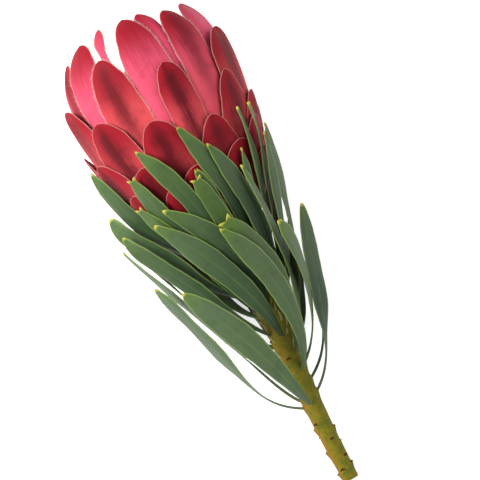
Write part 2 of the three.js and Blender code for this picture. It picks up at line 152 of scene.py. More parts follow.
# Leaves, as (base, turn, tip, tip turn, sweep, bulge, rise, width, face, yellowness)
LEAVES = [
    (42.5, -86, 130, -80, 1, 14.2, 0.298, 14.3, 18, 0.1),
    (43.5, -14, 121.5, -52, 1.1, 9.1, 0.36, 13.8, 25, 0.1),
    (46.8, -100, 153.5, -92, 1, 3.2, 0.4, 11, 20, 0.4),
    (47.8, 84, 133.5, 87, 1, 9.2, 0.295, 11.5, -40, 0.2),
    (54.5, 104, 126, 100, 1, 12.3, 0.27, 7, 0, 0.1),
    (63, 92, 131.5, 39.5, 1.2, 6.8, 0.397, 11.6, 8, 0.3),
    (61, 33, 141.2, -3, 1.6, 9.1, 0.33, 11, -5, 0.25),
    (74, 55, 163.8, 28, 1.2, 8.7, 0.35, 7, 30, 0.3),
    (70, 34, 144.3, 2, 2, 8.8, 0.33, 11.5, -5, 0.4),
    (72, 119, 132, 107, 1, 9.3, 0.3, 14, 0, 0.3),
    (80.7, 1, 157.4, -45, 1.25, 8.4, 0.36, 13, 12, 0.25),
    (76, -88, 150, -90, 1, 10.6, 0.4, 10, 0, 0.4),
    (82, 96, 177, 61, 0.8, 10.3, 0.33, 10, 0, 0.3),
    (83, -50, 159.8, -68, 1, 5.5, 0.54, 10, 35, 0.3),
    (90, 62, 173.4, 54, 1, 8.2, 0.42, 7, 0, 0.3),
    (96, 10, 162, -33, 1.6, 9.1, 0.38, 11, 4, 0.35),
    (103, -55, 171, -77, 1, 10.1, 0.56, 14, 32, 0.5),
    (98, 48, 180.7, 14, 1, 10.1, 0.4, 9, 0, 0.3),
    (101, 56, 189.7, 53, 1, 10.1, 0.4, 6, 20, 0.4),
    (94, -32, 168.6, -49, 0.9, 6.6, 0.34, 9.5, 0, 0.9),
    (106, -104, 186, -97, 1, 10.1, 0.35, 9, 0, 0.5),
    (106.5, 10, 168.6, -1.5, 1, 10.1, 0.42, 9, 0, 0.95),
    (109, 52, 190, 43, 1, 12.1, 0.4, 6, 20, 0.4),
    (112, -33, 183, -39, 1, 8.1, 0.36, 10, 0, 0.6),
    (113, 37, 171.4, 36, 1, 12.1, 0.4, 5, 15, 0.4),
    (115, -60, 195, -70, 1, 10.1, 0.42, 11, 25, 0.5),
    (117, -8, 193.5, -25.5, 2.5, 14.1, 0.4, 10, 0, 0.7),
    (119, 30, 194.7, 3, 1, 14.1, 0.4, 9, 0, 0.5),
    (123, 10, 172.3, 1.5, 1, 8.1, 0.3, 7, 0, 0.15),
]
LEAF_SWING = 9
LEAF_CURVE = 30
HEAD_FOOT = 129
LEAF_FROM_STEM = 0.35
FOOT_THICKER = 0.7
LEAF_LAYER = 1.4
LEAF_LAYER_STEP = 0.06
INNERMOST_LEAF = 130
# Leaves with a broad tip that ends in two small teeth
TOOTHED = (9, 20, 22, 24)
# Painted shade: how dark the lower part of a leaf is painted where that doesn't follow from its place on the
# stem
LEAF_PAINTED_SHADE = {4: 1, 5: 0.8, 10: 0.9}
# The turns of the far side's leaves, their even spacing and length, and the rest of each one's row
FAR_TURNS = [170, 218, 186, 228, 177, 236, 160, 192, 222, 130, 199, 232, 166, 210]
FAR_BASE = 50
FAR_STEP = 5.2
FAR_LENGTH = 78
FAR_SPREAD = 12
FAR_HIGHEST_TIP = 180
FAR_LEAF = (1, 15, 0.33, 11, 0, 0.3)
# Leaves this close to the underside end before the head would press them on the surface
UNDERSIDE = 35
UNDERSIDE_HIGHEST_TIP = 148

# Florets, with the share of the dome's radius that their tips and their feet are at
FLORET_TOP = 229.0
FLORETS_WIDEST = 178.0
FLORETS_RADIUS = 27.0
FLORETS_BELOW_WIDEST = 6
TIP_SHARE = 0.98
FOOT_SHARE = 0.5
FLORET_JITTER = 0.09
# The core under them, with its foot as rings of (radius, along)
CORE_RADIUS = 22
CORE_START = 156
CORE_TOP = 219
CORE_REACH_BELOW = 30
CORE_SHARPNESS = 2.4
CORE_RINGS = 12
CORE_SIDES = 40
CORE_FOOT = [(0.01, 149.9), (7, 149.95), (10, 152)]

# Hairs and scars: how far a hair leans at random, and the least and most of their random sizes
HAIR_TILT = 0.42
HAIR_SIZES = (0.45, 1.25)
SCAR_SIZES = (0.8, 1.25)

# Stage
CAMERA_RIGHT = (0.883, -0.469, 0)
CAMERA_UP = (0.469, 0.883, 0)
CAMERA_TARGET = (4.1, 131.6, 0)
KEY_SIZE, KEY_PLACE = 0.8, (-0.95, 0.6, 1.1)
FILL_SIZE, FILL_PLACE = 1.4, (1.1, -0.6, 1.0)
WORLD_LIGHT = 0.42


# Shapes

def lerp(first, second, share):
    return first + (second - first) * share


def smoothstep(value, low, high):
    share = np.clip((value - low) / (high - low), 0, 1)
    return share * share * (3 - 2 * share)


def smooth_max(first, second, soft):
    return (first + second + np.hypot(first - second, soft)) / 2


def vectors(x, y, z):
    return np.stack(np.broadcast_arrays(x, y, z), axis=-1).astype(float)


def unit(vector):
    return vector / np.linalg.norm(vector, axis=-1, keepdims=True)


def place(along, radius, turn):
    """Points from their places on the flower's own axis."""
    left = STEM_BEND * (1 - smoothstep(along, *STEM_BENDS))
    angle = np.radians(turn)
    return vectors(radius * np.sin(angle) - left, along, radius * np.cos(angle))


def stem_radius(along):
    woody = lerp(STEM_CUT_RADIUS, STEM_WOOD_RADIUS, np.minimum(1, along / STEM_WOOD_END))
    return woody + (SHOOT_RADIUS - STEM_WOOD_RADIUS) * smoothstep(along, *SHOOT_SWELLS)


def receptacle_radius(along):
    return RIM_RADIUS - RIM_SLOPE * max(0, RIM_ALONG - along)


def head_radius(along):
    """The radius of the head's outline, where the tips of the bracts lie."""
    def half(away, reach, sharpness, fullness):
        return (1 - np.clip(away / reach, 0, 1) ** sharpness) ** fullness

    below, above = half(WIDEST - along, *BELOW_WIDEST), half(along - WIDEST, *ABOVE_WIDEST)
    return HEAD_RADIUS * np.where(along < WIDEST, below, above)


def surface_below(along):
    """The distance from the axis straight down to the surface that the flower lies on."""
    return (LIFT + along * math.sin(TILT)) / math.cos(TILT)


def spiral_tip(number, eased):
    return FIRST_TIP - TIP_STEP * number + TIP_EASING * eased**2


class Blade:
    """A thin blade as a grid of rows from its root to its tip and columns from margin to margin."""

    right_half = [0.05, 0.17, 0.36, 0.56, 0.74, 0.87, 0.95, 0.985, 1]
    columns = np.array([-side for side in reversed(right_half)] + right_half)
    lowest = 0.0
    notch = 0.0
    notch_length = 3.5
    pink_tip = 0.0
    hair_rise = 0.55
    hair_lift = 0.3

    def middle(self, along):
        return place(along, self.radius_at(along), self.turn_at(along))

    def axes(self, along):
        """The directions along, across and out of the blade."""
        tangent = unit(self.middle(along + 0.5) - self.middle(along - 0.5))
        angle = np.radians(self.facing(along))
        sideways = vectors(np.cos(angle), 0 * angle, -np.sin(angle))
        sideways = unit(sideways - tangent * np.sum(sideways * tangent, -1, keepdims=True))
        return tangent, sideways, np.cross(sideways, tangent)

    def points(self, along, side, layer):
        """Points of the blade, side from -1 to 1 across it and layer from -1 inside to 1 outside."""
        tangent, sideways, outward = self.axes(along)
        radius = self.curve(along)
        bend = (side * self.half_width(along) + self.wave(along, side)) / radius
        thickness = self.thickness(along, side)
        height = radius + self.lift(along, side) + layer * thickness / 2
        result = self.middle(along) + sideways * (height * np.sin(bend))[..., None]
        result += outward * (height * np.cos(bend) - radius)[..., None]
        clear = self.lowest + np.where(layer < 0, thickness, 0) - surface_below(result[..., 1])
        result[..., 2] = np.maximum(result[..., 2], clear)
        return result

    def grid(self):
        along, side = np.meshgrid(self.rows, self.columns, indexing="ij")
        near_tip = smoothstep(along, self.tip - self.notch_length, self.tip)
        fall = self.notch * (1 - np.abs(side)) ** 1.3 * near_tip
        return along - fall, side

    def margin(self, start):
        """The margin as points from start up to the tip and back down, and where its hairs point."""
        closer_at_tip = np.linspace(0, 1, 3 * np.sum(self.rows > start)) ** 0.8
        along = start + (self.tip - start) * closer_at_tip
        slope = np.gradient(self.half_width(along), along)
        steepness = np.hypot(1, slope)
        tangent, sideways, outward = self.axes(along)
        places, directions = [], []
        for sign in (-1, 1):
            across = sideways * (sign / steepness)[:, None]
            direction = across + tangent * (self.hair_rise - slope / steepness)[:, None]
            places.append(self.points(along, np.full_like(along, sign), 0)[::-sign])
            directions.append(unit(direction + outward * self.hair_lift)[::-sign])
        return np.concatenate(places), np.concatenate(directions)

    def tables(self, along, side):
        half = self.half_width(along)
        return {
            "margin_mm": half * (1 - np.abs(side)),
            "tip_mm": self.tip - along,
            "side": side,
            "share": (along - self.rows[0]) / (self.tip - self.rows[0]),
            "flow": vectors(side * half, along, self.seed * 31.7),
            # dark is the dark middle of a bract, and the painted shade on the lower part of a leaf
            **{key: np.full_like(along, getattr(self, key)) for key in ("tone", "dark", "pink_tip")},
        }


class Bract(Blade):
    """A bract of the head, by its number on the spiral: 0 is the middle of the upper side."""

    step_length = 8
    tile_slope = 0.12
    grown_over = 36
    narrow_foot = 0.3
    least_half_width = 0.25
    wave_height = 0.22
    keel_height = 0.35
    margin_curl = 0.4
    margin_thickness = 0.3
    waist = 0.4

    def __init__(self, number, thickness):
        self.number = number
        self.seed = number + 40
        self.full_thickness = thickness
        further, around, wider = OUT_OF_STEP.get(number, (0, 0, 0))
        even_tip = min(HIGHEST_TIP + 0.6 * min(0, number + 21), spiral_tip(number, number))
        self.tip = even_tip + further
        self.turn = FIRST_TURN - GOLDEN_TURN * number + around
        self.full = (BRACT_HALF_WIDTH - INNERMOST_NARROWER * smoothstep(-number, 16, 28)) * (1 + wider)
        usual = (self.tip_rounding * min(1, 1.5 + 2 * wider), BRACT_BLUNTNESS)
        self.rounding, self.bluntness = POINTED_TIP if number in POINTED else usual
        self.rounding = BLUNT.get(number, self.rounding)
        share = (number - self.first) / (self.last - self.first)
        self.root = self.highest_root - self.root_falls * share
        root_radius = receptacle_radius(self.root) + self.root_height
        self.least = RIM_RADIUS + self.least_height + self.least_rises * share
        self.tone, dark = self.usual_colour(number)
        self.dark = DARKNESS.get(number, dark)
        self.pink_tip = PINK_TIPS.get(number, 0)
        shoulder = self.tip - self.rounding
        straight = np.linspace(self.root, shoulder, int((shoulder - self.root) / 3) + 3)
        rounded = self.tip - self.rounding * (1 - np.cos(np.linspace(math.pi / 2, 0.02, 17)[1:]))
        self.rows = np.concatenate([straight, rounded])
        self.step = self.layer(np.array(self.root)) - root_radius

    def layer(self, along):
        """The radius that a bract has among the others, which lie over one another like tiles."""
        surfacing = spiral_tip(self.number, max(0, self.number))
        sunk = self.tile_slope * (surfacing - along) + self.sunk
        return smooth_max(head_radius(along) - sunk, self.least, 1)

    def radius_at(self, along):
        near_root = np.maximum(0, 1 - (along - self.root) / self.step_length)
        return self.layer(along) - self.step * near_root**2

    def turn_at(self, along):
        return self.turn + BENT.get(self.number, 0) * smoothstep(self.tip - along, 22, 2)

    curve = radius_at
    facing = turn_at

    def half_width(self, along):
        from_tip = np.clip((self.tip - along) / self.rounding, 0, 1)
        base = lerp(self.narrow_foot, 1, smoothstep(along, self.root, self.root + self.grown_over))
        if self.number == WAISTED:
            down = self.tip - along
            base = base * (1 - self.waist * (smoothstep(down, 5, 13) - smoothstep(down, 22, 40)))
        half = self.full * base * np.sqrt(1 - (1 - from_tip) ** self.bluntness)
        return np.maximum(self.least_half_width, half)

    def wave(self, along, side):
        phase = self.seed * 1.7
        wave = np.sin(along * 0.33 + phase) + 0.5 * np.sin(along * 0.81 + 2 * phase)
        return self.wave_height * wave * np.abs(side) ** 3 * smoothstep(self.tip - along, 0, 6)

    def lift(self, along, side):
        down = self.tip - along
        keel = self.keel_height * np.exp(-((side / 0.3) ** 2)) * smoothstep(down, 45, 4)
        curl = self.margin_curl * smoothstep(np.abs(side), 0.55, 1)
        return keel * math.sin(self.seed * 2.9) - curl * smoothstep(down, 75, 30) * smoothstep(down, 0, 9)

    def thickness(self, along, side):
        return lerp(self.full_thickness, self.margin_thickness, smoothstep(np.abs(side), 0.55, 1))


class OuterBract(Bract):
    """A leathery crimson bract, with its place on the receptacle and the look of its set."""

    first, last = FIRST_OUTER, OUTERMOST
    numbers = range(FIRST_OUTER, OUTERMOST + 1)
    highest_root, root_falls, root_height = 136.2, 5.2, 2.3
    least_height, least_rises, sunk = 3.6, 3.4, 0
    tip_rounding = 28
    collar = (129.6, 137, 3)
    pale_rim = (0.42, 0.6)
    hairy_part, hair_seed = 46, 3

    @staticmethod
    def usual_colour(number):
        return 0.9 + 0.1 * math.sin(number * 1.9), 0.75 + 0.2 * math.sin(number * 3.1)


class InnerBract(Bract):
    """A silky pink bract, with its place on the receptacle and the look of its set."""

    first, last = INNERMOST, FIRST_OUTER
    numbers = range(INNERMOST, FIRST_OUTER)
    highest_root, root_falls, root_height = 144, 3.6, 1.1
    least_height, least_rises, sunk = 1.3, 1.4, 0.7
    tip_rounding = 33
    collar = (139.4, 146, 1.5)
    pale_rim = (0.8, 0.5)
    hairy_part, hair_seed = 60, 4

    @staticmethod
    def usual_colour(number):
        return REDNESS.get(number, 0.12 + 0.1 * math.sin(number * 2.3)), 0.15


class Leaf(Blade):
    """A strap-shaped leaf that swings out from the stem and lies up along the head."""

    narrow_foot = 0.2
    wave_height = 0.25
    groove_depth = 0.14
    twist_height = 0.35
    margin_thickness = 0.34
    callus_thicker = 0.35

    def __init__(self, seed, row, thickness):
        self.base, self.turn, self.tip, self.tip_turn, self.sweep = row[:5]
        self.bulge, self.rise, self.width, self.face, self.tone = row[5:]
        # Painted shade: the lower part of a leaf is painted darker the higher up the stem it grows, or as
        # much as listed for it
        self.dark = LEAF_PAINTED_SHADE.get(seed, smoothstep(self.base, 55, 95))
        self.seed = seed
        self.full_thickness = thickness
        self.bluntness, self.tip_share, self.notch = 2.4, 0.024, 1.5 * max(0.0, math.sin(seed * 1.37))
        if seed in TOOTHED:
            self.bluntness, self.tip_share, self.notch = 5, 0.6, 1.6
        self.lowest = 0.6 + 0.07 * (self.base - 40)
        steepness = math.atan(self.bulge / LEAF_SWING + self.rise)
        self.start = stem_radius(self.base) + LEAF_FROM_STEM + FOOT_THICKER * math.cos(steepness)
        length = self.tip - self.base
        foot = np.array([-1.4, -0.6, 0, 1, 2, 3.5, 5, 7, 9.5])
        blade = np.linspace(12, length * 0.72, 20)
        rounded = length * (0.72 + 0.28 * np.sin(np.linspace(0, math.pi / 2, 17)[1:]))
        self.rows = self.base + np.concatenate([foot, blade, rounded])

    def share(self, along):
        return (along - self.base) / (self.tip - self.base)

    def radius_at(self, along):
        out = np.maximum(0, along - self.base)
        free = self.start + self.bulge * (1 - np.exp(-out / LEAF_SWING)) + self.rise * out
        free = free - 1.3 * np.maximum(0, self.base - along)
        layer = LEAF_LAYER + LEAF_LAYER_STEP * (INNERMOST_LEAF - self.base)
        hugging = -smooth_max(-free, -(HEAD_RADIUS + layer), 3)
        on_head = head_radius(np.maximum(along, HEAD_FOOT - 0.5)) + layer
        risen = smooth_max(hugging, on_head, 1.5 * smoothstep(along, HEAD_FOOT, HEAD_FOOT + 11))
        return np.where(along < HEAD_FOOT, hugging, risen)

    def turn_at(self, along):
        share = np.maximum(0, self.share(along))
        return self.turn + (self.tip_turn - self.turn) * share**self.sweep

    def facing(self, along):
        return self.turn_at(along) + self.face * smoothstep(self.share(along), 0.1, 0.5)

    def half_width(self, along):
        share = self.share(along)
        grown = lerp(self.narrow_foot, 1, np.sin(math.pi / 2 * np.clip(share / 0.65, 0, 1)))
        end = np.clip((share - 0.6) / 0.4, 0, 1)
        least = lerp(self.narrow_foot, self.tip_share, smoothstep(share, 0.9, 1))
        return self.width / 2 * np.maximum(least, grown * np.maximum(0, 1 - end**self.bluntness) ** 0.62)

    def curve(self, along):
        return np.full_like(along, LEAF_CURVE)

    def wave(self, along, side):
        wave = np.sin(along * 0.21 + self.seed) + 0.4 * np.sin(along * 0.67 + 2 * self.seed)
        wave = self.wave_height * wave * smoothstep(self.share(along), 0.15, 0.4)
        return wave * np.sign(side) * np.abs(side) ** 3

    def lift(self, along, side):
        groove = self.groove_depth * np.exp(-((side / 0.1) ** 2))
        twist = self.twist_height * np.sin(along * 0.17 + 3 * self.seed) * np.abs(side) ** 2 * side
        return (twist - groove) * smoothstep(self.share(along), 0.12, 0.4)

    def thickness(self, along, side):
        middle = self.full_thickness + FOOT_THICKER * smoothstep(self.share(along), 0.25, 0)
        rim = self.margin_thickness + 0.3 * smoothstep(self.share(along), 0.2, 0)
        callus = self.callus_thicker * smoothstep(self.tip - along, 2.5, 0.6)
        return lerp(middle, rim, smoothstep(np.abs(side), 0.5, 1)) * 0.95 + callus


class Scale(Blade):
    """A small dry scale that stands off the young shoot."""

    columns = np.array([-1, -0.6, 0, 0.6, 1])
    tone, dark, lowest = 1.0, 0.0, -9.0

    def __init__(self, seed, along, turn, length):
        self.seed, self.base, self.turn = seed, along, turn
        self.tip = along + 0.85 * length
        self.rows = np.linspace(along, self.tip, 9)

    def radius_at(self, along):
        out = np.maximum(0, along - self.base)
        return stem_radius(self.base) - 0.2 + 0.55 * out - 0.03 * out**2

    def turn_at(self, along):
        return self.turn + 1.2 * math.sin(self.seed) * (along - self.base)

    facing = turn_at

    def half_width(self, along):
        share = np.clip((along - self.base) / (self.tip - self.base), 0, 1)
        return 0.1 + 0.55 * (1 - share) ** 0.7

    def curve(self, along):
        return np.full_like(along, 2.5)

    def wave(self, along, side):
        return 0 * along

    lift = wave

    def thickness(self, along, side):
        return np.full_like(along, 0.25)


def even_random(seed):
    """A random number from 0 to 1 that depends only on a whole-number seed."""
    mask = 0xFFFFFFFF
    state = (seed + 0x6D2B79F5) & mask
    state = ((state ^ (state >> 15)) * (state | 1)) & mask
    state ^= (state + (((state ^ (state >> 7)) * (state | 61)) & mask)) & mask
    return ((state ^ (state >> 14)) & mask) / (mask + 1)


def far_leaves():
    """The leaves of the far side: each a step further up, at the next of their turns."""
    rows = []
    for i, turn in enumerate(FAR_TURNS):
        base = FAR_BASE + FAR_STEP * i
        limit = UNDERSIDE_HIGHEST_TIP if abs(turn - 180) < UNDERSIDE else FAR_HIGHEST_TIP
        tip = min(limit, base + FAR_LENGTH + FAR_SPREAD * (even_random(i + 1) - 0.5))
        rows.append((base, turn, tip, turn, *FAR_LEAF))
    return rows


# Meshes

def mesh_object(name, places, faces=(), edges=(), tables=None):
    """An object from points in millimetres, with a point attribute for each table of numbers or vectors."""
    mesh = bpy.data.meshes.new(name)
    mesh.from_pydata([tuple(point) for point in places], edges, faces)
    for key, values in (tables or {}).items():
        values = np.asarray(values, np.float32)
        kind, field = ("FLOAT", "value") if values.ndim == 1 else ("FLOAT_VECTOR", "vector")
        mesh.attributes.new(key, kind, "POINT").data.foreach_set(field, values.ravel())
    mesh.transform(TO_ROW)
    mesh.shade_smooth()
    mesh.update()
    obj = bpy.data.objects.new(name, mesh)
    bpy.context.scene.collection.objects.link(obj)
    return obj


def turned_to_row(directions):
    return directions @ np.array(TURN_TO_ROW).T


def grid_faces(rows, columns, first):
    """Faces of a closed blade: its outside, its inside, and the strip round them."""
    outside, inside = first + np.arange(2 * rows * columns).reshape(2, rows, columns)
    faces = []
    for sheet in (outside, inside.T):
        corners = (sheet[:-1, :-1], sheet[:-1, 1:], sheet[1:, 1:], sheet[1:, :-1])
        faces += np.stack(corners, -1).reshape(-1, 4).tolist()
    above, below = [
        np.concatenate([sheet[:, 0], sheet[-1, 1:], sheet[-2::-1, -1], sheet[0, -2:0:-1]])
        for sheet in (outside, inside)
    ]
    return faces + np.stack([above, np.roll(above, -1), np.roll(below, -1), below], -1).tolist()


def rings(profile, sides):
    """Rings of points round the axis from a profile of (radius, along)."""
    turns = np.arange(sides) * 360 / sides
    return np.concatenate([place(np.full(sides, float(along)), radius, turns) for radius, along in profile])


def ring_faces(rows, sides, closed):
    """Faces between rings of points, and two ends where the last ring doesn't join the first."""
    faces = []
    for i in range(rows if closed else rows - 1):
        low, high = i * sides, (i + 1) % rows * sides
        faces += [(low + j, low + (j + 1) % sides, high + (j + 1) % sides, high + j) for j in range(sides)]
    if not closed:
        faces.append(tuple(reversed(range(sides))))
        faces.append(tuple(range((rows - 1) * sides, rows * sides)))
    return faces


def collar(low, high, thickness, sides=32):
    """A closed collar round the receptacle that the bracts of one set grow from."""
    start, end = receptacle_radius(low) + 0.35, receptacle_radius(high) + 0.35
    profile = [(start, low), (start + thickness, low), (end + thickness, high), (end, high)]
    return rings(profile, sides), ring_faces(len(profile), sides, True)


def blades_object(name, blades, ring=None):
    """One object from closed blades, and from a collar where there is one."""
    places, faces, columns = [], [], {}
    count = 0
    for blade in blades:
        along, side = blade.grid()
        faces += grid_faces(*along.shape, count)
        for layer in (1, -1):
            points = blade.points(along, side, layer)
            places.append(points.reshape(-1, 3))
            tables = {**blade.tables(along, side), "outside": np.full_like(along, (layer + 1) / 2)}
            for key, values in tables.items():
                columns.setdefault(key, []).append(values.reshape(along.size, *values.shape[2:]))
        count += 2 * along.size
    if ring is not None:
        points, joined = ring
        places.append(points)
        faces += [[count + i for i in face] for face in joined]
        for key, parts in columns.items():
            far_off = np.full(len(points), 40.0 if key.endswith("_mm") else 0.5)
            parts.append(points if key == "flow" else far_off)
    tables = {key: np.concatenate(parts) for key, parts in columns.items()}
    return mesh_object(name, np.concatenate(places), faces, tables=tables)


def face_outwards(obj):
    """Makes the faces of each closed body point outwards."""
    work = bmesh.new()
    work.from_mesh(obj.data)
    bmesh.ops.recalc_face_normals(work, faces=work.faces)
    work.to_mesh(obj.data)
    work.free()
    obj.data.shade_smooth()
    return obj


def ready(obj, material, nodes=()):
    """Gives a finished piece its material and its place in the frame."""
    obj.data.materials.clear()
    obj.data.materials.append(material)
    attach(obj, "root")
    if nodes:
        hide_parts(*nodes)


# Node trees

def math_node(operation, other_first=False):
    """An operator of Value that adds a Math node."""
    def add_node(value, *others):
        values = (*others, value) if other_first else (value, *others)
        return value.tree.add("ShaderNodeMath", dict(enumerate(values)), operation=operation)

    return add_node


class Value:
    """An output of a node, which Python's operators make Math nodes of."""

    def __init__(self, tree, socket):
        self.tree = tree
        self.socket = socket

    __add__ = math_node("ADD")
    __sub__ = math_node("SUBTRACT")
    __rsub__ = math_node("SUBTRACT", other_first=True)
    __mul__ = math_node("MULTIPLY")
    __truediv__ = math_node("DIVIDE")
    __rtruediv__ = math_node("DIVIDE", other_first=True)
    __pow__ = math_node("POWER")
    __abs__ = math_node("ABSOLUTE")
    at_least = math_node("MAXIMUM")
    root = math_node("SQRT")
    sine = math_node("SINE")
    cosine = math_node("COSINE")

    def clamped(self):
        return self.tree.add("ShaderNodeClamp", {"Value": self})

    def ramp(self, low, high, first=0, second=1):
        """A smooth change from first to second while the value goes from low to high."""
        inputs = {"Value": self, "From Min": low, "From Max": high, "To Min": first, "To Max": second}
        return self.tree.add("ShaderNodeMapRange", inputs, interpolation_type="SMOOTHSTEP")


class Tree:
    """A node tree, with short ways to add to it."""

    kind = "ShaderNodeTree"

    def __init__(self, data):
        self.data = data

    def connect(self, node, values):
        """Sets each input of a node to a plain value, or links it to a value of another node."""
        for key, value in values.items():
            if isinstance(value, Value):
                self.data.links.new(value.socket, node.inputs[key])
            else:
                node.inputs[key].default_value = value

    def add(self, kind, values=None, output=0, **settings):
        """Adds a node with its settings and inputs, and gives one of its outputs."""
        node = self.data.nodes.new(kind)
        for key, value in settings.items():
            setattr(node, key, value)
        self.connect(node, values or {})
        return Value(self, node.outputs[output])

    def end(self, value):
        """Gives a value out as the result of a node group."""
        result = self.data.nodes.new("NodeGroupOutput")
        self.data.links.new(value.socket, result.inputs[0])
        return self.data

    def combined(self, x=0.0, y=0.0, z=0.0):
        return self.add("ShaderNodeCombineXYZ", {0: x, 1: y, 2: z})

    def parts(self, vector):
        node = self.add("ShaderNodeSeparateXYZ", {0: vector}).socket.node
        return [Value(self, socket) for socket in node.outputs]

    def blend(self, share, first, second):
        inputs = {0: share, 6: opaque(first), 7: opaque(second)}
        return self.add("ShaderNodeMix", inputs, 2, data_type="RGBA")


def opaque(colour):
    return colour if isinstance(colour, Value) else (*colour, 1.0)


def new_group(name, inputs, output, tree_class=Tree):
    """A node group with named inputs and one output, as its tree and then each of its inputs."""
    data = bpy.data.node_groups.new(name, tree_class.kind)
    for label, (socket_type, default) in inputs.items():
        socket = data.interface.new_socket(label, in_out="INPUT", socket_type="NodeSocket" + socket_type)
        if default is not None:
            socket.default_value = default
    data.interface.new_socket(output[0], in_out="OUTPUT", socket_type="NodeSocket" + output[1])
    tree = tree_class(data)
    sockets = data.nodes.new("NodeGroupInput").outputs
    return tree, *(Value(tree, sockets[label]) for label in inputs)


def fibres_group():
    """Fine fibres that run along a blade or a stem, as a value round a half."""
    inputs = {"Flow": ("Vector", None), "Fineness": ("Float", 2.0), "Length": ("Float", 12.0)}
    tree, flow, fineness, length = new_group("Fibres", inputs, ("Value", "Float"))
    x, y, z = tree.parts(flow)
    stretched = tree.combined(x * fineness, y / length, z)
    noise = {"Vector": stretched, "Scale": 1.0, "Detail": 3.0, "Roughness": 0.6}
    return tree.end(tree.add("ShaderNodeTexNoise", noise))


def mottle_group():
    """Soft blotches with small specks in them, as a value from 0 to 1."""
    inputs = {"Place": ("Vector", None), "Size": ("Float", 0.006), "Contrast": ("Float", 1.0)}
    tree, spot, size, contrast = new_group("Mottle", inputs, ("Value", "Float"))
    noise = {"Vector": spot, "Scale": 1.0 / size, "Detail": 5.0, "Roughness": 0.62}
    raised = (tree.add("ShaderNodeTexNoise", noise) - 0.5) * contrast + 0.5
    return tree.end(raised.clamped())


class Surface(Tree):
    """A material's node tree, whose colour is laid on in coats."""

    def __init__(self, name, colour):
        self.material = bpy.data.materials.new(name)
        self.material.use_nodes = True
        super().__init__(self.material.node_tree)
        self.shader = self.data.nodes["Principled BSDF"]
        self.colour = colour

    def table(self, name, output="Fac"):
        return self.add("ShaderNodeAttribute", output=output, attribute_name=name)

    def fibres(self, fineness, length):
        group = bpy.data.node_groups.get("Fibres") or fibres_group()
        values = {"Flow": self.table("flow", "Vector"), "Fineness": fineness, "Length": length}
        return self.add("ShaderNodeGroup", values, node_tree=group)

    def mottle(self, size, contrast):
        group = bpy.data.node_groups.get("Mottle") or mottle_group()
        spot = self.add("ShaderNodeTexCoord", output="Object")
        values = {"Place": spot, "Size": size, "Contrast": contrast}
        return self.add("ShaderNodeGroup", values, node_tree=group)

    def coat(self, colour, share):
        """Lays another colour over the one so far, as far as its share goes."""
        self.colour = self.blend(share, self.colour, colour)

    def finish(self, roughness, height, depth, constants):
        """Feeds the shader its colour, roughness and bumps, and sets its constant numbers."""
        bump = self.add("ShaderNodeBump", {"Height": height, "Strength": 0.6, "Distance": depth})
        inputs = {"Base Color": self.colour, "Roughness": roughness, "Normal": bump, **constants}
        self.connect(self.shader, inputs)
        return self.material


def leaf_material(settings):
    leaf = Surface("leathery_leaf", settings.grey_green)
    blotches, specks, grain = leaf.mottle(0.007, 1.6), leaf.mottle(0.0012, 1.5), leaf.fibres(1.6, 16)
    tip, share = leaf.table("tip_mm"), leaf.table("share")
    leaf.coat(settings.fresh_green, (leaf.table("tone") + tip.ramp(13, 1.5, 0, 0.65)).clamped())
    dark = [part * kept for part, kept in zip(settings.grey_green, (0.22, 0.42, 0.3))]
    leaf.coat(dark, blotches.ramp(0.62, 0.1, 0, 0.32))
    leaf.coat(settings.fresh_green, grain.ramp(0.5, 0.75, 0, 0.22))
    leaf.coat(dark, specks.ramp(0.58, 0.86, 0, 0.6))
    # Painted shade: the lower part of a leaf darker, as far as its dark table goes
    leaf.coat(dark, tip.ramp(5, 52, 0.3, 0.9) * leaf.table("dark"))
    leaf.coat(settings.underside, (1 - leaf.table("outside")) * 0.45)
    leaf.coat(settings.margin, abs(leaf.table("side")).ramp(0.1, 0.02) * share.ramp(0.95, 0.3, 0, 0.1))
    width = settings.margin_width * 1000
    rim = leaf.table("margin_mm").ramp(1.5 * width, 0.3 * width) * share.ramp(0.08, 0.35, 0.1, 1)
    leaf.coat(settings.margin, rim * 0.45)
    leaf.coat(settings.foot, share.ramp(0.07, 0, 0, 0.75))
    leaf.coat(settings.callus, tip.ramp(2.1, 0.4, 0, 0.9))
    height = grain * 0.5 + specks * 0.5
    return leaf.finish(blotches.ramp(0.2, 0.8, 0.46, 0.6), height, 0.00025, {"Specular IOR Level": 0.4})


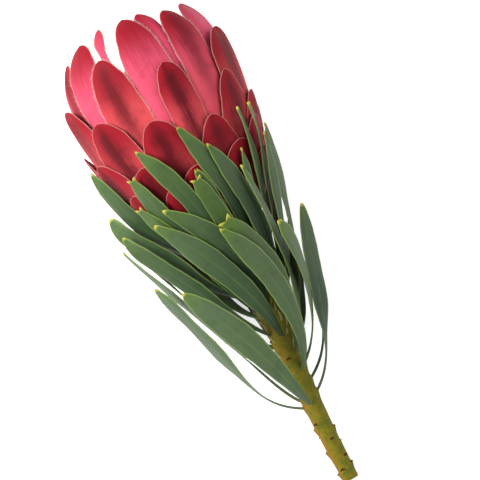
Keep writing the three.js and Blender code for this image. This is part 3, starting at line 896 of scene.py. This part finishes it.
def bract_material(name, settings, rim_width, rim_share):
    """Velvety bracts: crimson above, pink or coral below, dark along the middle, pale at the margins."""
    bract = Surface(name, settings.crimson)
    grain, fine, blotches = bract.fibres(1.1, 26), bract.fibres(4.5, 20), bract.mottle(0.008, 1.4)
    tip, red = bract.table("tip_mm"), bract.table("tone")
    down = (grain - 0.5) * 10 + tip + bract.table("pink_tip")
    red_low = bract.blend(down.ramp(9, 44), settings.crimson, settings.coral)
    pink_low = bract.blend(down.ramp(3, 34), settings.crimson, settings.pink)
    bract.colour = bract.blend(red, pink_low, red_low)
    # Light streaks along the fibres: partly the bracts' own pale striations, partly painted sheen for their
    # silky shine; most on the pinker bracts, none at the tip
    streaks_and_sheen = fine.ramp(0.45, 0.8) * red.ramp(0.2, 0.9, 0.55, 0.1) * tip.ramp(4, 26)
    bract.coat(bract.blend(red, settings.streak_and_sheen_pink, settings.coral), streaks_and_sheen)
    from_middle = (blotches - 0.5) * 0.5 + ((grain - 0.5) * 0.35 + abs(bract.table("side")))
    stripe = from_middle.ramp(0.75, 0) * tip.ramp(0, 9, 0.35, 1) * tip.ramp(62, 30)
    bract.coat(settings.maroon, stripe * bract.table("dark"))
    bract.coat(settings.maroon, blotches.ramp(0.45, 0, 0, 0.35))
    frayed = (fine - 0.5) * (rim_width * 1.5) + bract.table("margin_mm")
    bract.coat(settings.hair_colour, frayed.ramp(rim_width, rim_width * 0.25, 0, rim_share))
    constants = {"Specular IOR Level": 0.07, "Sheen Weight": 0.01, "Sheen Roughness": 0.4}
    return bract.finish(blotches.ramp(0.2, 0.8, 0.5, 0.64), grain * 0.6 + fine * 0.4, 0.0004, constants)


def stem_material(settings):
    bark = Surface("olive_bark", settings.bark_green)
    grain, streaks = bark.fibres(1.4, 11), bark.fibres(1, 1.8)
    blotches, specks = bark.mottle(0.0045, 1.9), bark.mottle(0.0009, 1.8)
    warm = (blotches - 0.5) * 0.9 + bark.table("warmth")
    around_scar = (specks - 0.5) * 0.4 + bark.table("scar")
    for colour, share in (
        (settings.bark_olive, blotches.ramp(0.1, 0.9)),
        (settings.bark_green, grain.ramp(0.48, 0.25, 0, 0.5)),
        (settings.bark_warm, warm.ramp(0.4, 1.05, 0, 0.85)),
        (settings.bark_warm, grain.ramp(0.56, 0.8, 0, 0.45)),
        # Painted light: the young shoot is painted lighter where the leaves over it shade it
        (settings.bark_painted_light, bark.table("young")),
        (settings.bark_warm, streaks.ramp(0.5, 0.68, 0, 0.6)),
        (settings.bark_green, streaks.ramp(0.46, 0.3, 0, 0.55)),
        (settings.scar_brown, specks.ramp(0.58, 0.8, 0, 0.55)),
        (settings.bark_warm, around_scar.ramp(0.04, 0.4, 0, 0.7)),
        (settings.scar_brown, around_scar.ramp(0.15, 0.75, 0, 0.85)),
        (settings.wood, bark.table("cut")),
    ):
        bark.coat(colour, share)
    height = streaks * 0.7 + specks * 0.5
    return bark.finish(blotches.ramp(0.2, 0.8, 0.45, 0.62), height, 0.0005, {"Specular IOR Level": 0.14})


def dry_material(name, colour, paler, mottling, roughness, depth, specular):
    """A dry surface of one colour that is paler in blotches."""
    surface = Surface(name, colour)
    tint = surface.mottle(*mottling)
    surface.coat([min(1.0, part * paler) for part in colour], tint)
    return surface.finish(tint.ramp(0, 1, *roughness), tint, depth, {"Specular IOR Level": specular})


def hair_material(name, colour):
    return dry_material(name, colour, 1.15, (0.01, 1.5), (0.6, 0.75), 0.00005, 0.3)


def floret_material(settings):
    floret = Surface("silky_floret", settings.foot_colour)
    tint = floret.mottle(0.002, 1.6)
    floret.coat(settings.tip_colour, floret.table("up").ramp(0.35, 0.95))
    floret.coat([min(1.0, 1.3 * part) for part in settings.tip_colour], tint.ramp(0.45, 0.9, 0, 0.6))
    constants = {"Sheen Weight": 0.3, "Sheen Roughness": 0.5, "Specular IOR Level": 0.3}
    return floret.finish(tint.ramp(0, 1, 0.6, 0.8), tint, 0.0002, constants)


# Geometry node trees for what repeats

class GeometryTree(Tree):
    """A geometry node tree, with short ways to scatter one shape over points."""

    kind = "GeometryNodeTree"

    def vector_table(self, name):
        return self.add("GeometryNodeInputNamedAttribute", {"Name": name}, data_type="FLOAT_VECTOR")

    def with_table(self, geometry, name, value, data_type):
        inputs = {"Geometry": geometry, "Name": name, "Value": value}
        return self.add("GeometryNodeStoreNamedAttribute", inputs, data_type=data_type)

    def random(self, low, high, seed):
        return self.add("FunctionNodeRandomValue", {2: low, 3: high, "Seed": seed}, 1, data_type="FLOAT")

    def random_vector(self, low, high, seed):
        return self.add("FunctionNodeRandomValue", {0: low, 1: high, "Seed": seed}, data_type="FLOAT_VECTOR")

    def aligned(self, vector, axis, **settings):
        return self.add("FunctionNodeAlignRotationToVector", {"Vector": vector}, axis=axis, **settings)

    def turned(self, rotation, by):
        inputs = {"Rotation": rotation, "Rotate By": by}
        return self.add("FunctionNodeRotateRotation", inputs, rotation_space="LOCAL")

    def end_with_copies(self, points, shape, rotation, scale, material):
        """Puts a copy of a shape on each point, makes them real and gives them their material."""
        inputs = {"Points": points, "Instance": shape, "Rotation": rotation, "Scale": scale}
        real = self.add("GeometryNodeRealizeInstances", {0: self.add("GeometryNodeInstanceOnPoints", inputs)})
        return self.end(self.add("GeometryNodeSetMaterial", {"Geometry": real, "Material": material}))


def new_geometry_tree(name, sizes, seed):
    """A geometry node tree with inputs for its mesh, for its sizes, its seed and its material."""
    numbers = {**sizes, "Seed": seed}
    inputs = {key: ("Int" if isinstance(size, int) else "Float", size) for key, size in numbers.items()}
    inputs = {"Geometry": ("Geometry", None), **inputs, "Material": ("Material", None)}
    return new_group(name, inputs, ("Geometry", "Geometry"), GeometryTree)


def applied(obj, tree, values):
    """The plain mesh that a geometry node tree makes of an object, with the tree's inputs set by name."""
    modifier = obj.modifiers.new(tree.name, "NODES")
    modifier.node_group = tree
    for item in tree.interface.items_tree:
        if item.in_out == "INPUT" and item.name in values:
            modifier[item.identifier] = values[item.name]
    bpy.context.view_layer.update()
    graph = bpy.context.evaluated_depsgraph_get()
    mesh = bpy.data.meshes.new_from_object(obj.evaluated_get(graph))
    obj.modifiers.clear()
    obj.data = mesh
    mesh.name = obj.name
    mesh.shade_smooth()
    return obj


def above_surface(mesh):
    """Bends what hangs below the surface back up over it."""
    places = np.empty(len(mesh.vertices) * 3, np.float32)
    mesh.vertices.foreach_get("co", places)
    places[2::3] = np.abs(places[2::3])
    mesh.vertices.foreach_set("co", places)


def fringe_tree():
    """Hairs along the margins of a set of bracts."""
    sizes = {"Spacing": 0.0002, "Length": 0.001, "Thickness": 0.00005}
    tree, margin, *given, seed, material = new_geometry_tree("Hairs on a margin", sizes, 3)
    spacing, length, thickness = given
    curve = tree.add("GeometryNodeMeshToCurve", {"Mesh": margin})
    spread = tree.add("GeometryNodeResampleCurve", {"Curve": curve, "Length": spacing}, mode="LENGTH")
    cone = {"Vertices": 3, "Side Segments": 1, "Radius Top": 0.0, "Depth": length}
    hair = tree.add("GeometryNodeMeshCone", {**cone, "Radius Bottom": thickness * 0.5}, fill_type="NGON")
    tilts = tree.random_vector((-HAIR_TILT, -HAIR_TILT, 0.0), (HAIR_TILT, HAIR_TILT, 6.3), seed)
    rotation = tree.turned(tree.aligned(tree.vector_table("direction"), "Z"), tilts)
    return tree.end_with_copies(spread, hair, rotation, tree.random(*HAIR_SIZES, seed + 11), material)


def fringe(name, bracts, settings, length, material):
    """The hairs of a set of bracts, from the last part of their margins."""
    places, directions, edges = [], [], []
    count = 0
    for bract in bracts:
        points, outwards = bract.margin(max(bract.root + 12, bract.tip - bract.hairy_part))
        places.append(points)
        directions.append(outwards)
        edges += [(count + i, count + i + 1) for i in range(len(points) - 1)]
        count += len(points)
    tables = {"direction": turned_to_row(np.concatenate(directions))}
    obj = mesh_object(name, np.concatenate(places), edges=edges, tables=tables)
    values = {
        "Spacing": settings.hair_spacing,
        "Length": length,
        "Thickness": settings.hair_thickness,
        "Seed": bracts[0].hair_seed,
        "Material": material,
    }
    applied(obj, fringe_tree(), values)
    above_surface(obj.data)
    return obj


def scar_tree():
    """Small dry lips where leaves have fallen from the stem."""
    tree, spots, width, seed, material = new_geometry_tree("Scars on a stem", {"Width": 0.0022}, 5)
    ball = tree.add("GeometryNodeMeshUVSphere", {"Segments": 14, "Rings": 8, "Radius": 0.5})
    lip = tree.add("GeometryNodeTransform", {"Geometry": ball, "Scale": (1.0, 0.42, 0.34)})
    across = tree.parts(tree.add("GeometryNodeInputPosition"))[0]
    crescent = tree.combined(y=abs(across) ** 2.0 * -0.9)
    lip = tree.add("GeometryNodeSetPosition", {"Geometry": lip, "Offset": crescent})
    outward = tree.aligned(tree.vector_table("outward"), "Z")
    upward = {"Rotation": outward, "Vector": tree.vector_table("upward")}
    rotation = tree.add("FunctionNodeAlignRotationToVector", upward, axis="Y", pivot_axis="Z")
    return tree.end_with_copies(spots, lip, rotation, tree.random(*SCAR_SIZES, seed) * width, material)


def floret_tree():
    """Slender florets on a dome, in the spiral that they grow in."""
    sizes = {
        "Count": 400, "Radius": FLORETS_RADIUS, "Top": FLORET_TOP, "Widest": FLORETS_WIDEST,
        "Length": 30.0, "Thickness": 1.1,
    }
    tree, _, *given, seed, material = new_geometry_tree("Florets on a dome", sizes, 7)
    count, radius, top, widest, length, thickness = given
    index = tree.add("GeometryNodeInputIndex")
    along = top - (top - (widest - FLORETS_BELOW_WIDEST)) * ((index + 0.5) / count)
    turn = index * math.radians(GOLDEN_TURN)
    up = (along - widest) / (top - widest)
    dome = (1 - abs(up) ** 2.0).at_least(0.0).root() * radius
    tip, foot = (
        tree.combined(dome * share * turn.sine(), height, dome * share * turn.cosine())
        for height, share in ((along, TIP_SHARE), (along - length, FOOT_SHARE))
    )
    reach = tree.add("ShaderNodeVectorMath", {0: tip, 1: foot}, operation="SUBTRACT")
    points = tree.add("GeometryNodePoints", {"Count": count, "Position": foot})
    # The direction of a floret goes on its point before it stands on it.
    points = tree.with_table(points, "reach", reach, "FLOAT_VECTOR")
    line = tree.add("GeometryNodeCurvePrimitiveLine", {"Start": (0, 0, 0), "End": (0, 0, 1)})
    line = tree.add("GeometryNodeResampleCurve", {"Curve": line, "Count": 9})
    factor = tree.add("GeometryNodeSplineParameter", output="Factor")
    line = tree.with_table(line, "up", factor, "FLOAT")
    club = factor.ramp(0.5, 0.86) * 0.5 + 0.5
    wide = club * factor.ramp(1.02, 0.84, 0.12, 1) * thickness / length
    circle = tree.add("GeometryNodeCurvePrimitiveCircle", {"Resolution": 7, "Radius": 1.0})
    tube = {"Curve": line, "Profile Curve": circle, "Scale": wide, "Fill Caps": True}
    floret = tree.add("GeometryNodeCurveToMesh", tube)
    leaning = tree.vector_table("reach")
    jitter = tree.random_vector([-FLORET_JITTER] * 3, [FLORET_JITTER] * 3, seed)
    rotation = tree.turned(tree.aligned(leaning, "Z"), jitter)
    size = tree.add("ShaderNodeVectorMath", {0: leaning}, "Value", operation="LENGTH")
    return tree.end_with_copies(points, floret, rotation, size, material)


# Settings

def colour_property(name, description, default):
    return FloatVectorProperty(
        name=name, description=description, default=default, subtype="COLOR", size=3, min=0, max=1
    )


def length_property(name, description, default):
    return FloatProperty(
        name=name, description=description, default=default, subtype="DISTANCE", unit="LENGTH", min=0
    )


def number_property(name, description, default):
    return FloatProperty(name=name, description=description, default=default, min=0)


class StemSettings(bpy.types.PropertyGroup):
    """Colours and sizes of the stem."""

    bark_green: colour_property("Green bark", "Colour of the greener patches of bark", (0.088, 0.112, 0.007))
    bark_olive: colour_property("Olive bark", "Colour of the yellower patches of bark", (0.2, 0.175, 0.007))
    bark_warm: colour_property("Warm bark", "Colour of the side that turned orange", (0.25, 0.115, 0.004))
    # Painted light: a lighter colour laid on the young shoot where the leaves over it shade it
    bark_painted_light: colour_property("Young bark", "Colour that the young shoot tends to", (0.36, 0.33, 0.05))
    scar_brown: colour_property("Scar brown", "Colour of the scars of fallen leaves", (0.042, 0.017, 0.003))
    scale_green: colour_property("Dry scale", "Colour of the scales on the young shoot", (0.4, 0.42, 0.2))
    wood: colour_property("Cut wood", "Colour of the cut end", (0.4, 0.34, 0.16))
    scar_width: length_property("Scar width", "Width of the lip of a scar", 0.0023)


class LeafSettings(bpy.types.PropertyGroup):
    """Colours and sizes of the leaves."""

    grey_green: colour_property("Grey green", "Colour of the duller leaves", (0.062, 0.1, 0.046))
    fresh_green: colour_property("Fresh green", "Colour of the yellower leaves", (0.085, 0.155, 0.022))
    underside: colour_property("Underside", "Colour that the undersides tend to", (0.1, 0.14, 0.075))
    foot: colour_property("Foot", "Colour where a leaf grows from the stem", (0.11, 0.13, 0.02))
    margin: colour_property("Margin", "Colour of the thin margin and the midrib", (0.32, 0.44, 0.08))
    callus: colour_property("Callus", "Colour of the hard tip", (0.52, 0.46, 0.05))
    thickness: length_property("Thickness", "Thickness of a leaf at its middle", 0.0007)
    margin_width: length_property("Margin width", "Width of the pale margin", 0.00045)


class BractSettings(bpy.types.PropertyGroup):
    """Colours and sizes of the bracts and of the hairs on their margins."""

    crimson: colour_property("Crimson", "Colour of the upper part of a bract", (0.28, 0.009, 0.017))
    maroon: colour_property("Maroon", "Colour of the dark middle of a bract", (0.095, 0.006, 0.01))
    coral: colour_property("Coral", "Colour of the lower part of an outer bract", (0.72, 0.09, 0.085))
    pink: colour_property("Pink", "Colour of the lower part of an inner bract", (0.72, 0.078, 0.16))
    # Painted sheen: these streaks are partly the bracts' own pale striations and partly stand for their silky
    # shine
    streak_and_sheen_pink: colour_property("Light pink", "Colour of the streaks on an inner bract", (0.82, 0.2, 0.3))
    hair_colour: colour_property("Hair colour", "Colour of the hairs and the pale margin", (0.7, 0.36, 0.31))
    inner_hair_colour: colour_property("Inner hairs", "Colour of an inner bract's hairs", (0.96, 0.88, 0.86))
    thickness: length_property("Thickness", "Thickness of a bract at its middle", 0.0008)
    hair_length: length_property("Hair length", "Length of the hairs on an outer bract's margin", 0.0006)
    inner_hair_length: length_property("Inner hair length", "Length of the hairs on an inner bract", 0.0012)
    hair_spacing: length_property("Hair spacing", "Distance from one hair to the next", 0.00025)
    hair_thickness: length_property("Hair thickness", "Thickness of a hair at its root", 0.00007)


class FloretSettings(bpy.types.PropertyGroup):
    """Number, sizes and colours of the florets."""

    count: IntProperty(name="Count", description="Number of florets on the dome", default=620, min=1)
    length: length_property("Length", "Length of the part of a floret that stands out", 0.03)
    thickness: length_property("Thickness", "Radius of a floret at its club", 0.0011)
    foot_colour: colour_property("Foot colour", "Colour low down on a floret", (0.6, 0.28, 0.22))
    tip_colour: colour_property("Tip colour", "Colour of the silky end of a floret", (0.82, 0.6, 0.57))


class StageSettings(bpy.types.PropertyGroup):
    """Camera, floor and light."""

    camera_distance: length_property("Camera distance", "Distance from the camera to the flower's axis", 1.6)
    lens: number_property("Lens", "Focal length of the camera in millimetres", 240)
    floor_size: length_property("Floor size", "Width of the pale floor", 8.0)
    key_power: number_property("Key power", "Power of the large soft light in watts", 36)
    fill_power: number_property("Fill power", "Power of the fill light in watts", 10)


# Operators

class PROTEA_OT_stem(bpy.types.Operator):
    """Build the stem with its receptacle, its bark and its swollen leaf bases"""

    bl_idname = "protea.stem"
    bl_label = "Stem"

    def execute(self, context):
        along = np.append(np.arange(0, STEM_TOP, STEM_STEP), STEM_TOP)
        turns = np.arange(STEM_SIDES) * 360 / STEM_SIDES
        height, turn = np.meshgrid(along, turns, indexing="ij")
        angle = np.radians(turn)
        radius = stem_radius(height)
        radius += 0.07 * np.sin(5 * angle + height * 0.05) + 0.05 * np.sin(height * 0.31 + 2 * angle)
        scar = np.zeros_like(height)

        def bump(base, at, size, above, below, wide):
            """A swelling that is steep above and long below."""
            over = height - base
            aside = np.radians((turn - at + 180) % 360 - 180) * radius / wide
            return size * np.exp(-((over / np.where(over > 0, above, below)) ** 2) - aside**2)

        for row in LEAVES + far_leaves():
            radius += bump(row[0], row[1], *LEAF_SWELLING)
            scar += bump(row[0] + 0.9, row[1], *LEAF_SPOT)
        for base, at in SCARS:
            radius += bump(base, at, *SCAR_SWELLING)
            scar += bump(base + 0.5, at, *SCAR_SPOT)
        rounding = np.where(height < 0.4, 0.25, 0)
        below, above = rings(CUT_END_OUTLINE, STEM_SIDES), rings(RECEPTACLE_OUTLINE, STEM_SIDES)
        points = np.concatenate([below, place(height, radius - rounding, turn).reshape(-1, 3), above])
        warm_side = 0.5 - 0.5 * np.sin(angle + 0.35)
        tables = {
            "scar": np.clip(scar, 0, 1.2),
            "warmth": warm_side * smoothstep(height, 160, 60) + 0.4 * smoothstep(height, 60, 100),
            # Painted light on the young shoot, more the higher up it is
            "young": 0.4 * smoothstep(height, 52, 85),
            "cut": np.zeros_like(height),
        }
        for key, values in tables.items():
            cut = np.full(len(below), 0.9 if key == "cut" else 0)
            tables[key] = np.concatenate([cut, values.ravel(), np.full(len(above), 0.2)])
        flow = vectors(angle * 4.1, height, 0).reshape(-1, 3)
        tables["flow"] = np.concatenate([below * 3, flow, above])
        faces = ring_faces(len(points) // STEM_SIDES, STEM_SIDES, False)
        obj = mesh_object("woody_stem", points, faces, tables=tables)
        ready(face_outwards(obj), stem_material(context.scene.protea_stem), ["stem"])
        return {"FINISHED"}


class PROTEA_OT_scars(bpy.types.Operator):
    """Build the dry lips of the scars that fallen leaves left on the stem"""

    bl_idname = "protea.scars"
    bl_label = "Leaf scars"

    def execute(self, context):
        settings = context.scene.protea_stem
        along, turn = np.array(SCARS, float).T
        along += 0.35
        angle = np.radians(turn)
        tables = {
            "outward": turned_to_row(vectors(np.sin(angle), 0.75, np.cos(angle))),
            "upward": turned_to_row(vectors(0 * angle, 1, 0)),
        }
        obj = mesh_object("leaf_scars", place(along, stem_radius(along) + 0.5, turn), tables=tables)
        material = dry_material("dry_scar", settings.scar_brown, 2, (0.0006, 2), (0.7, 0.9), 0.0003, 0.08)
        applied(obj, scar_tree(), {"Width": settings.scar_width, "Seed": 5, "Material": material})
        ready(obj, material)
        return {"FINISHED"}


class PROTEA_OT_scales(bpy.types.Operator):
    """Build the small dry scales on the young shoot"""

    bl_idname = "protea.scales"
    bl_label = "Dry scales"

    def execute(self, context):
        obj = blades_object("shoot_scales", [Scale(i, *row) for i, row in enumerate(SCALES)])
        ready(face_outwards(obj), hair_material("dry_scale", context.scene.protea_stem.scale_green))
        return {"FINISHED"}


class PROTEA_OT_leaves(bpy.types.Operator):
    """Build each leaf with its petiole, midrib, pale margin and hard tip"""

    bl_idname = "protea.leaves"
    bl_label = "Leaves"

    def execute(self, context):
        settings = context.scene.protea_leaves
        material = leaf_material(settings)
        for i, row in enumerate(LEAVES + far_leaves(), 1):
            obj = blades_object(f"strap_leaf_{i:02d}", [Leaf(i, row, settings.thickness * 1000)])
            ready(face_outwards(obj), material, [f"leaf_{i:02d}"])
        return {"FINISHED"}


def build_bracts(kind, settings, look, node, hair_look, hair_colour, hair_length):
    """Builds a set of bracts on its collar, and the hairs on their margins."""
    bracts = [kind(number, settings.thickness * 1000) for number in kind.numbers]
    obj = blades_object(f"{look}_bracts", bracts, collar(*kind.collar))
    ready(face_outwards(obj), bract_material(f"{look}_bract", settings, *kind.pale_rim), [node])
    hair = hair_material(hair_look, hair_colour)
    ready(fringe(node.replace("bracts", "fringe"), bracts, settings, hair_length, hair), hair)


class PROTEA_OT_outer_bracts(bpy.types.Operator):
    """Build the outer bracts and the hairs on their margins"""

    bl_idname = "protea.outer_bracts"
    bl_label = "Outer bracts"

    def execute(self, context):
        settings = context.scene.protea_bracts
        hairs = ("pale_hair", settings.hair_colour, settings.hair_length)
        build_bracts(OuterBract, settings, "crimson", "outer_bracts", *hairs)
        return {"FINISHED"}


class PROTEA_OT_inner_bracts(bpy.types.Operator):
    """Build the inner bracts and the longer hairs on their margins"""

    bl_idname = "protea.inner_bracts"
    bl_label = "Inner bracts"

    def execute(self, context):
        settings = context.scene.protea_bracts
        hairs = ("white_hair", settings.inner_hair_colour, settings.inner_hair_length)
        build_bracts(InnerBract, settings, "pink", "inner_bracts", *hairs)
        return {"FINISHED"}


class PROTEA_OT_florets(bpy.types.Operator):
    """Build the dome of silky florets inside the bracts"""

    bl_idname = "protea.florets"
    bl_label = "Florets"

    def execute(self, context):
        settings = context.scene.protea_florets
        material = floret_material(settings)
        profile = list(CORE_FOOT)
        for along in np.linspace(CORE_START, CORE_TOP - 2, CORE_RINGS):
            reach = CORE_REACH_BELOW if along < FLORETS_WIDEST else CORE_TOP - FLORETS_WIDEST
            inside = max(0, 1 - abs((along - FLORETS_WIDEST) / reach) ** CORE_SHARPNESS)
            profile.append((CORE_RADIUS * math.sqrt(inside), along))
        profile.append((0.01, CORE_TOP - 0.5))
        points, faces = rings(profile, CORE_SIDES), ring_faces(len(profile), CORE_SIDES, False)
        tables = {"up": np.full(len(points), 0.2), "flow": points}
        core = mesh_object("floret_core", points, faces, tables=tables)
        ready(face_outwards(core), material, ["florets"])
        dome = mesh_object("florets_dome", [])
        values = {
            "Count": settings.count, "Radius": FLORETS_RADIUS, "Top": FLORET_TOP, "Widest": FLORETS_WIDEST,
            "Length": settings.length * 1000, "Thickness": settings.thickness * 1000, "Seed": 7,
            "Material": material,
        }
        applied(dome, floret_tree(), values)
        dome.data.transform(TO_ROW)
        ready(dome, material)
        return {"FINISHED"}


class PROTEA_OT_stage(bpy.types.Operator):
    """Build the camera, the pale floor and the soft light"""

    bl_idname = "protea.stage"
    bl_label = "Stage"

    def execute(self, context):
        settings = context.scene.protea_stage
        half = settings.floor_size / 2
        mesh = bpy.data.meshes.new("floor")
        corners = [(-half, -half, 0), (half, -half, 0), (half, half, 0), (-half, half, 0)]
        mesh.from_pydata(corners, [], [(0, 1, 2, 3)])
        floor = self.link(context, "floor", mesh)
        pale = Surface("pale_floor", None)
        shade = pale.mottle(0.5, 1).ramp(0, 1, 0.88, 0.92)
        seen = pale.add("ShaderNodeLightPath", output="Is Camera Ray")
        inputs = {
            "Base Color": pale.add("ShaderNodeCombineColor", {0: shade, 1: shade, 2: shade}),
            "Roughness": 0.9,
            "Emission Color": (1, 1, 1, 1),
            "Emission Strength": seen.ramp(0, 1, 0.3, 0.62),
        }
        pale.connect(pale.shader, inputs)
        mesh.materials.append(pale.material)

        camera_data = bpy.data.cameras.new("camera")
        camera_data.lens = settings.lens
        camera_data.sensor_width = 36
        camera_data.clip_end = 50
        camera = self.link(context, "camera", camera_data)
        right, up, back = (TURN_TO_ROW @ Vector(axis) for axis in (CAMERA_RIGHT, CAMERA_UP, (0, 0, 1)))
        matrix = Matrix((right, up, back)).transposed().to_4x4()
        matrix.translation = TO_ROW @ Vector(CAMERA_TARGET) + back * settings.camera_distance
        camera.matrix_world = matrix
        context.scene.camera = camera

        for name, power, size, spot in (
            ("key", settings.key_power, KEY_SIZE, KEY_PLACE),
            ("fill", settings.fill_power, FILL_SIZE, FILL_PLACE),
        ):
            data = bpy.data.lights.new(name, "AREA")
            data.energy = power
            data.size = size
            light = self.link(context, name, data)
            light.location = spot
            light.rotation_euler = (-Vector(spot)).to_track_quat("-Z", "Y").to_euler()
        world = bpy.data.worlds.new("studio")
        world.use_nodes = True
        background = world.node_tree.nodes["Background"]
        background.inputs["Color"].default_value = (1, 1, 1, 1)
        background.inputs["Strength"].default_value = WORLD_LIGHT
        context.scene.world = world
        context.scene.view_settings.view_transform = "Standard"
        return {"FINISHED"}

    @staticmethod
    def link(context, name, data):
        obj = bpy.data.objects.new(name, data)
        context.scene.collection.objects.link(obj)
        return obj


class PROTEA_PT_panel(bpy.types.Panel):
    """Settings and steps of the protea flower"""

    bl_idname = "PROTEA_PT_panel"
    bl_label = "Protea flower"
    bl_space_type = "VIEW_3D"
    bl_region_type = "UI"
    bl_category = "Protea"

    def draw(self, context):
        for name, (label, _, operators) in STEPS.items():
            box = self.layout.box()
            box.label(text=label)
            settings = getattr(context.scene, name)
            for key in settings.__annotations__:
                box.prop(settings, key)
            for operator in operators:
                box.operator(operator.bl_idname)


STEPS = {
    "protea_stem": ("Stem", StemSettings, [PROTEA_OT_stem, PROTEA_OT_scars, PROTEA_OT_scales]),
    "protea_leaves": ("Leaves", LeafSettings, [PROTEA_OT_leaves]),
    "protea_bracts": ("Bracts", BractSettings, [PROTEA_OT_outer_bracts, PROTEA_OT_inner_bracts]),
    "protea_florets": ("Florets", FloretSettings, [PROTEA_OT_florets]),
    "protea_stage": ("Stage", StageSettings, [PROTEA_OT_stage]),
}
CLASSES = [item for _, group, operators in STEPS.values() for item in (group, *operators)] + [PROTEA_PT_panel]


def register():
    for item in CLASSES:
        bpy.utils.register_class(item)
    for name, (_, group, _) in STEPS.items():
        setattr(bpy.types.Scene, name, PointerProperty(type=group))


def unregister():
    for name in STEPS:
        delattr(bpy.types.Scene, name)
    for item in reversed(CLASSES):
        bpy.utils.unregister_class(item)


def main():
    register()
    bpy.ops.protea.stage()
    bpy.ops.protea.stem()
    bpy.ops.protea.scars()
    bpy.ops.protea.scales()
    bpy.ops.protea.leaves()
    bpy.ops.protea.outer_bracts()
    bpy.ops.protea.inner_bracts()
    bpy.ops.protea.florets()


if __name__ == "__main__":
    main()
